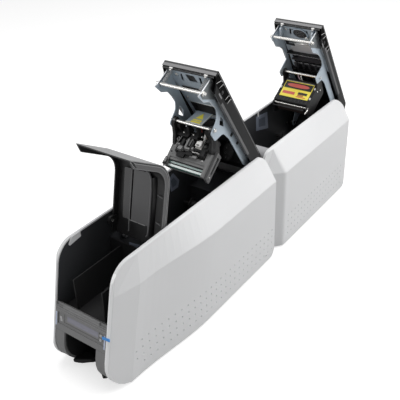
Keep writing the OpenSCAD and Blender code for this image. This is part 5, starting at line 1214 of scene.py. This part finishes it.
def backdrop_material():
    """Pale floor that reads as white to the camera and keeps the object's shadow."""
    made = bpy.data.materials.new("backdrop")
    made.use_nodes = True
    tree = made.node_tree
    tree.nodes.clear()
    matt = node(tree, "ShaderNodeBsdfDiffuse", {"Color": FLOOR_GREY})
    path = node(tree, "ShaderNodeLightPath")
    seen = node(tree, "ShaderNodeMath", {0: path.outputs["Is Camera Ray"], 1: FLOOR_GLOW}, "MULTIPLY")
    glow = node(tree, "ShaderNodeEmission", {"Strength": seen.outputs[0]})
    floor = node(tree, "ShaderNodeAddShader", {0: matt.outputs[0], 1: glow.outputs[0]})
    node(tree, "ShaderNodeOutputMaterial", {"Surface": floor.outputs[0]})
    return made


def floor_plane():
    """A wide square under the object."""
    mesh = bpy.data.meshes.new("floor")
    corners = [(x * FLOOR_HALF, y * FLOOR_HALF, 0) for x, y in ((-1, -1), (1, -1), (1, 1), (-1, 1))]
    mesh.from_pydata(corners, [], [(0, 1, 2, 3)])
    mesh.materials.append(backdrop_material())
    floor = linked("floor", mesh)


def softbox(name, at, towards, side, watts):
    """A square lamp that faces a point."""
    lamp = bpy.data.lights.new(name, "AREA")
    lamp.shape = "RECTANGLE"
    lamp.size = lamp.size_y = side
    lamp.energy = watts
    made = linked(name, lamp)
    made.location = at
    made.rotation_euler = (Vector(towards) - Vector(at)).to_track_quat("-Z", "Y").to_euler()


def studio_world():
    """An even white surround."""
    world = bpy.data.worlds.new("studio")
    bpy.context.scene.world = world
    world.use_nodes = True
    tree = world.node_tree
    path = node(tree, "ShaderNodeLightPath").outputs
    seen = node(tree, "ShaderNodeMath", {0: path["Is Camera Ray"], 1: path["Is Transmission Ray"]}, "MAXIMUM")
    level = times_plus(tree, seen.outputs[0], WORLD_SEEN, WORLD_LIT)
    feed(tree, tree.nodes["Background"], {"Color": (1, 1, 1, 1), "Strength": level})


def photo_camera():
    """The camera stands where the photograph's parallel edges say that it stood."""
    right, down, ahead = Vector(CAMERA_RIGHT), Vector(CAMERA_DOWN), Vector(CAMERA_AHEAD)
    lens = bpy.data.cameras.new("camera")
    lens.sensor_width = SENSOR
    lens.lens = SENSOR * FOCAL_LENGTH / PHOTO_SIDE
    lens.clip_end = CAMERA_REACH
    camera = linked("camera", lens)
    turn = Matrix((right, -down, -ahead)).transposed().to_4x4()
    camera.matrix_world = Matrix.Translation(place(*CAMERA_AT)) @ turn
    bpy.context.scene.camera = camera


floor_plane()
studio_world()
for lamp in SOFTBOXES:
    softbox(*lamp)
photo_camera()
bpy.context.scene.view_settings.view_transform = "Standard"
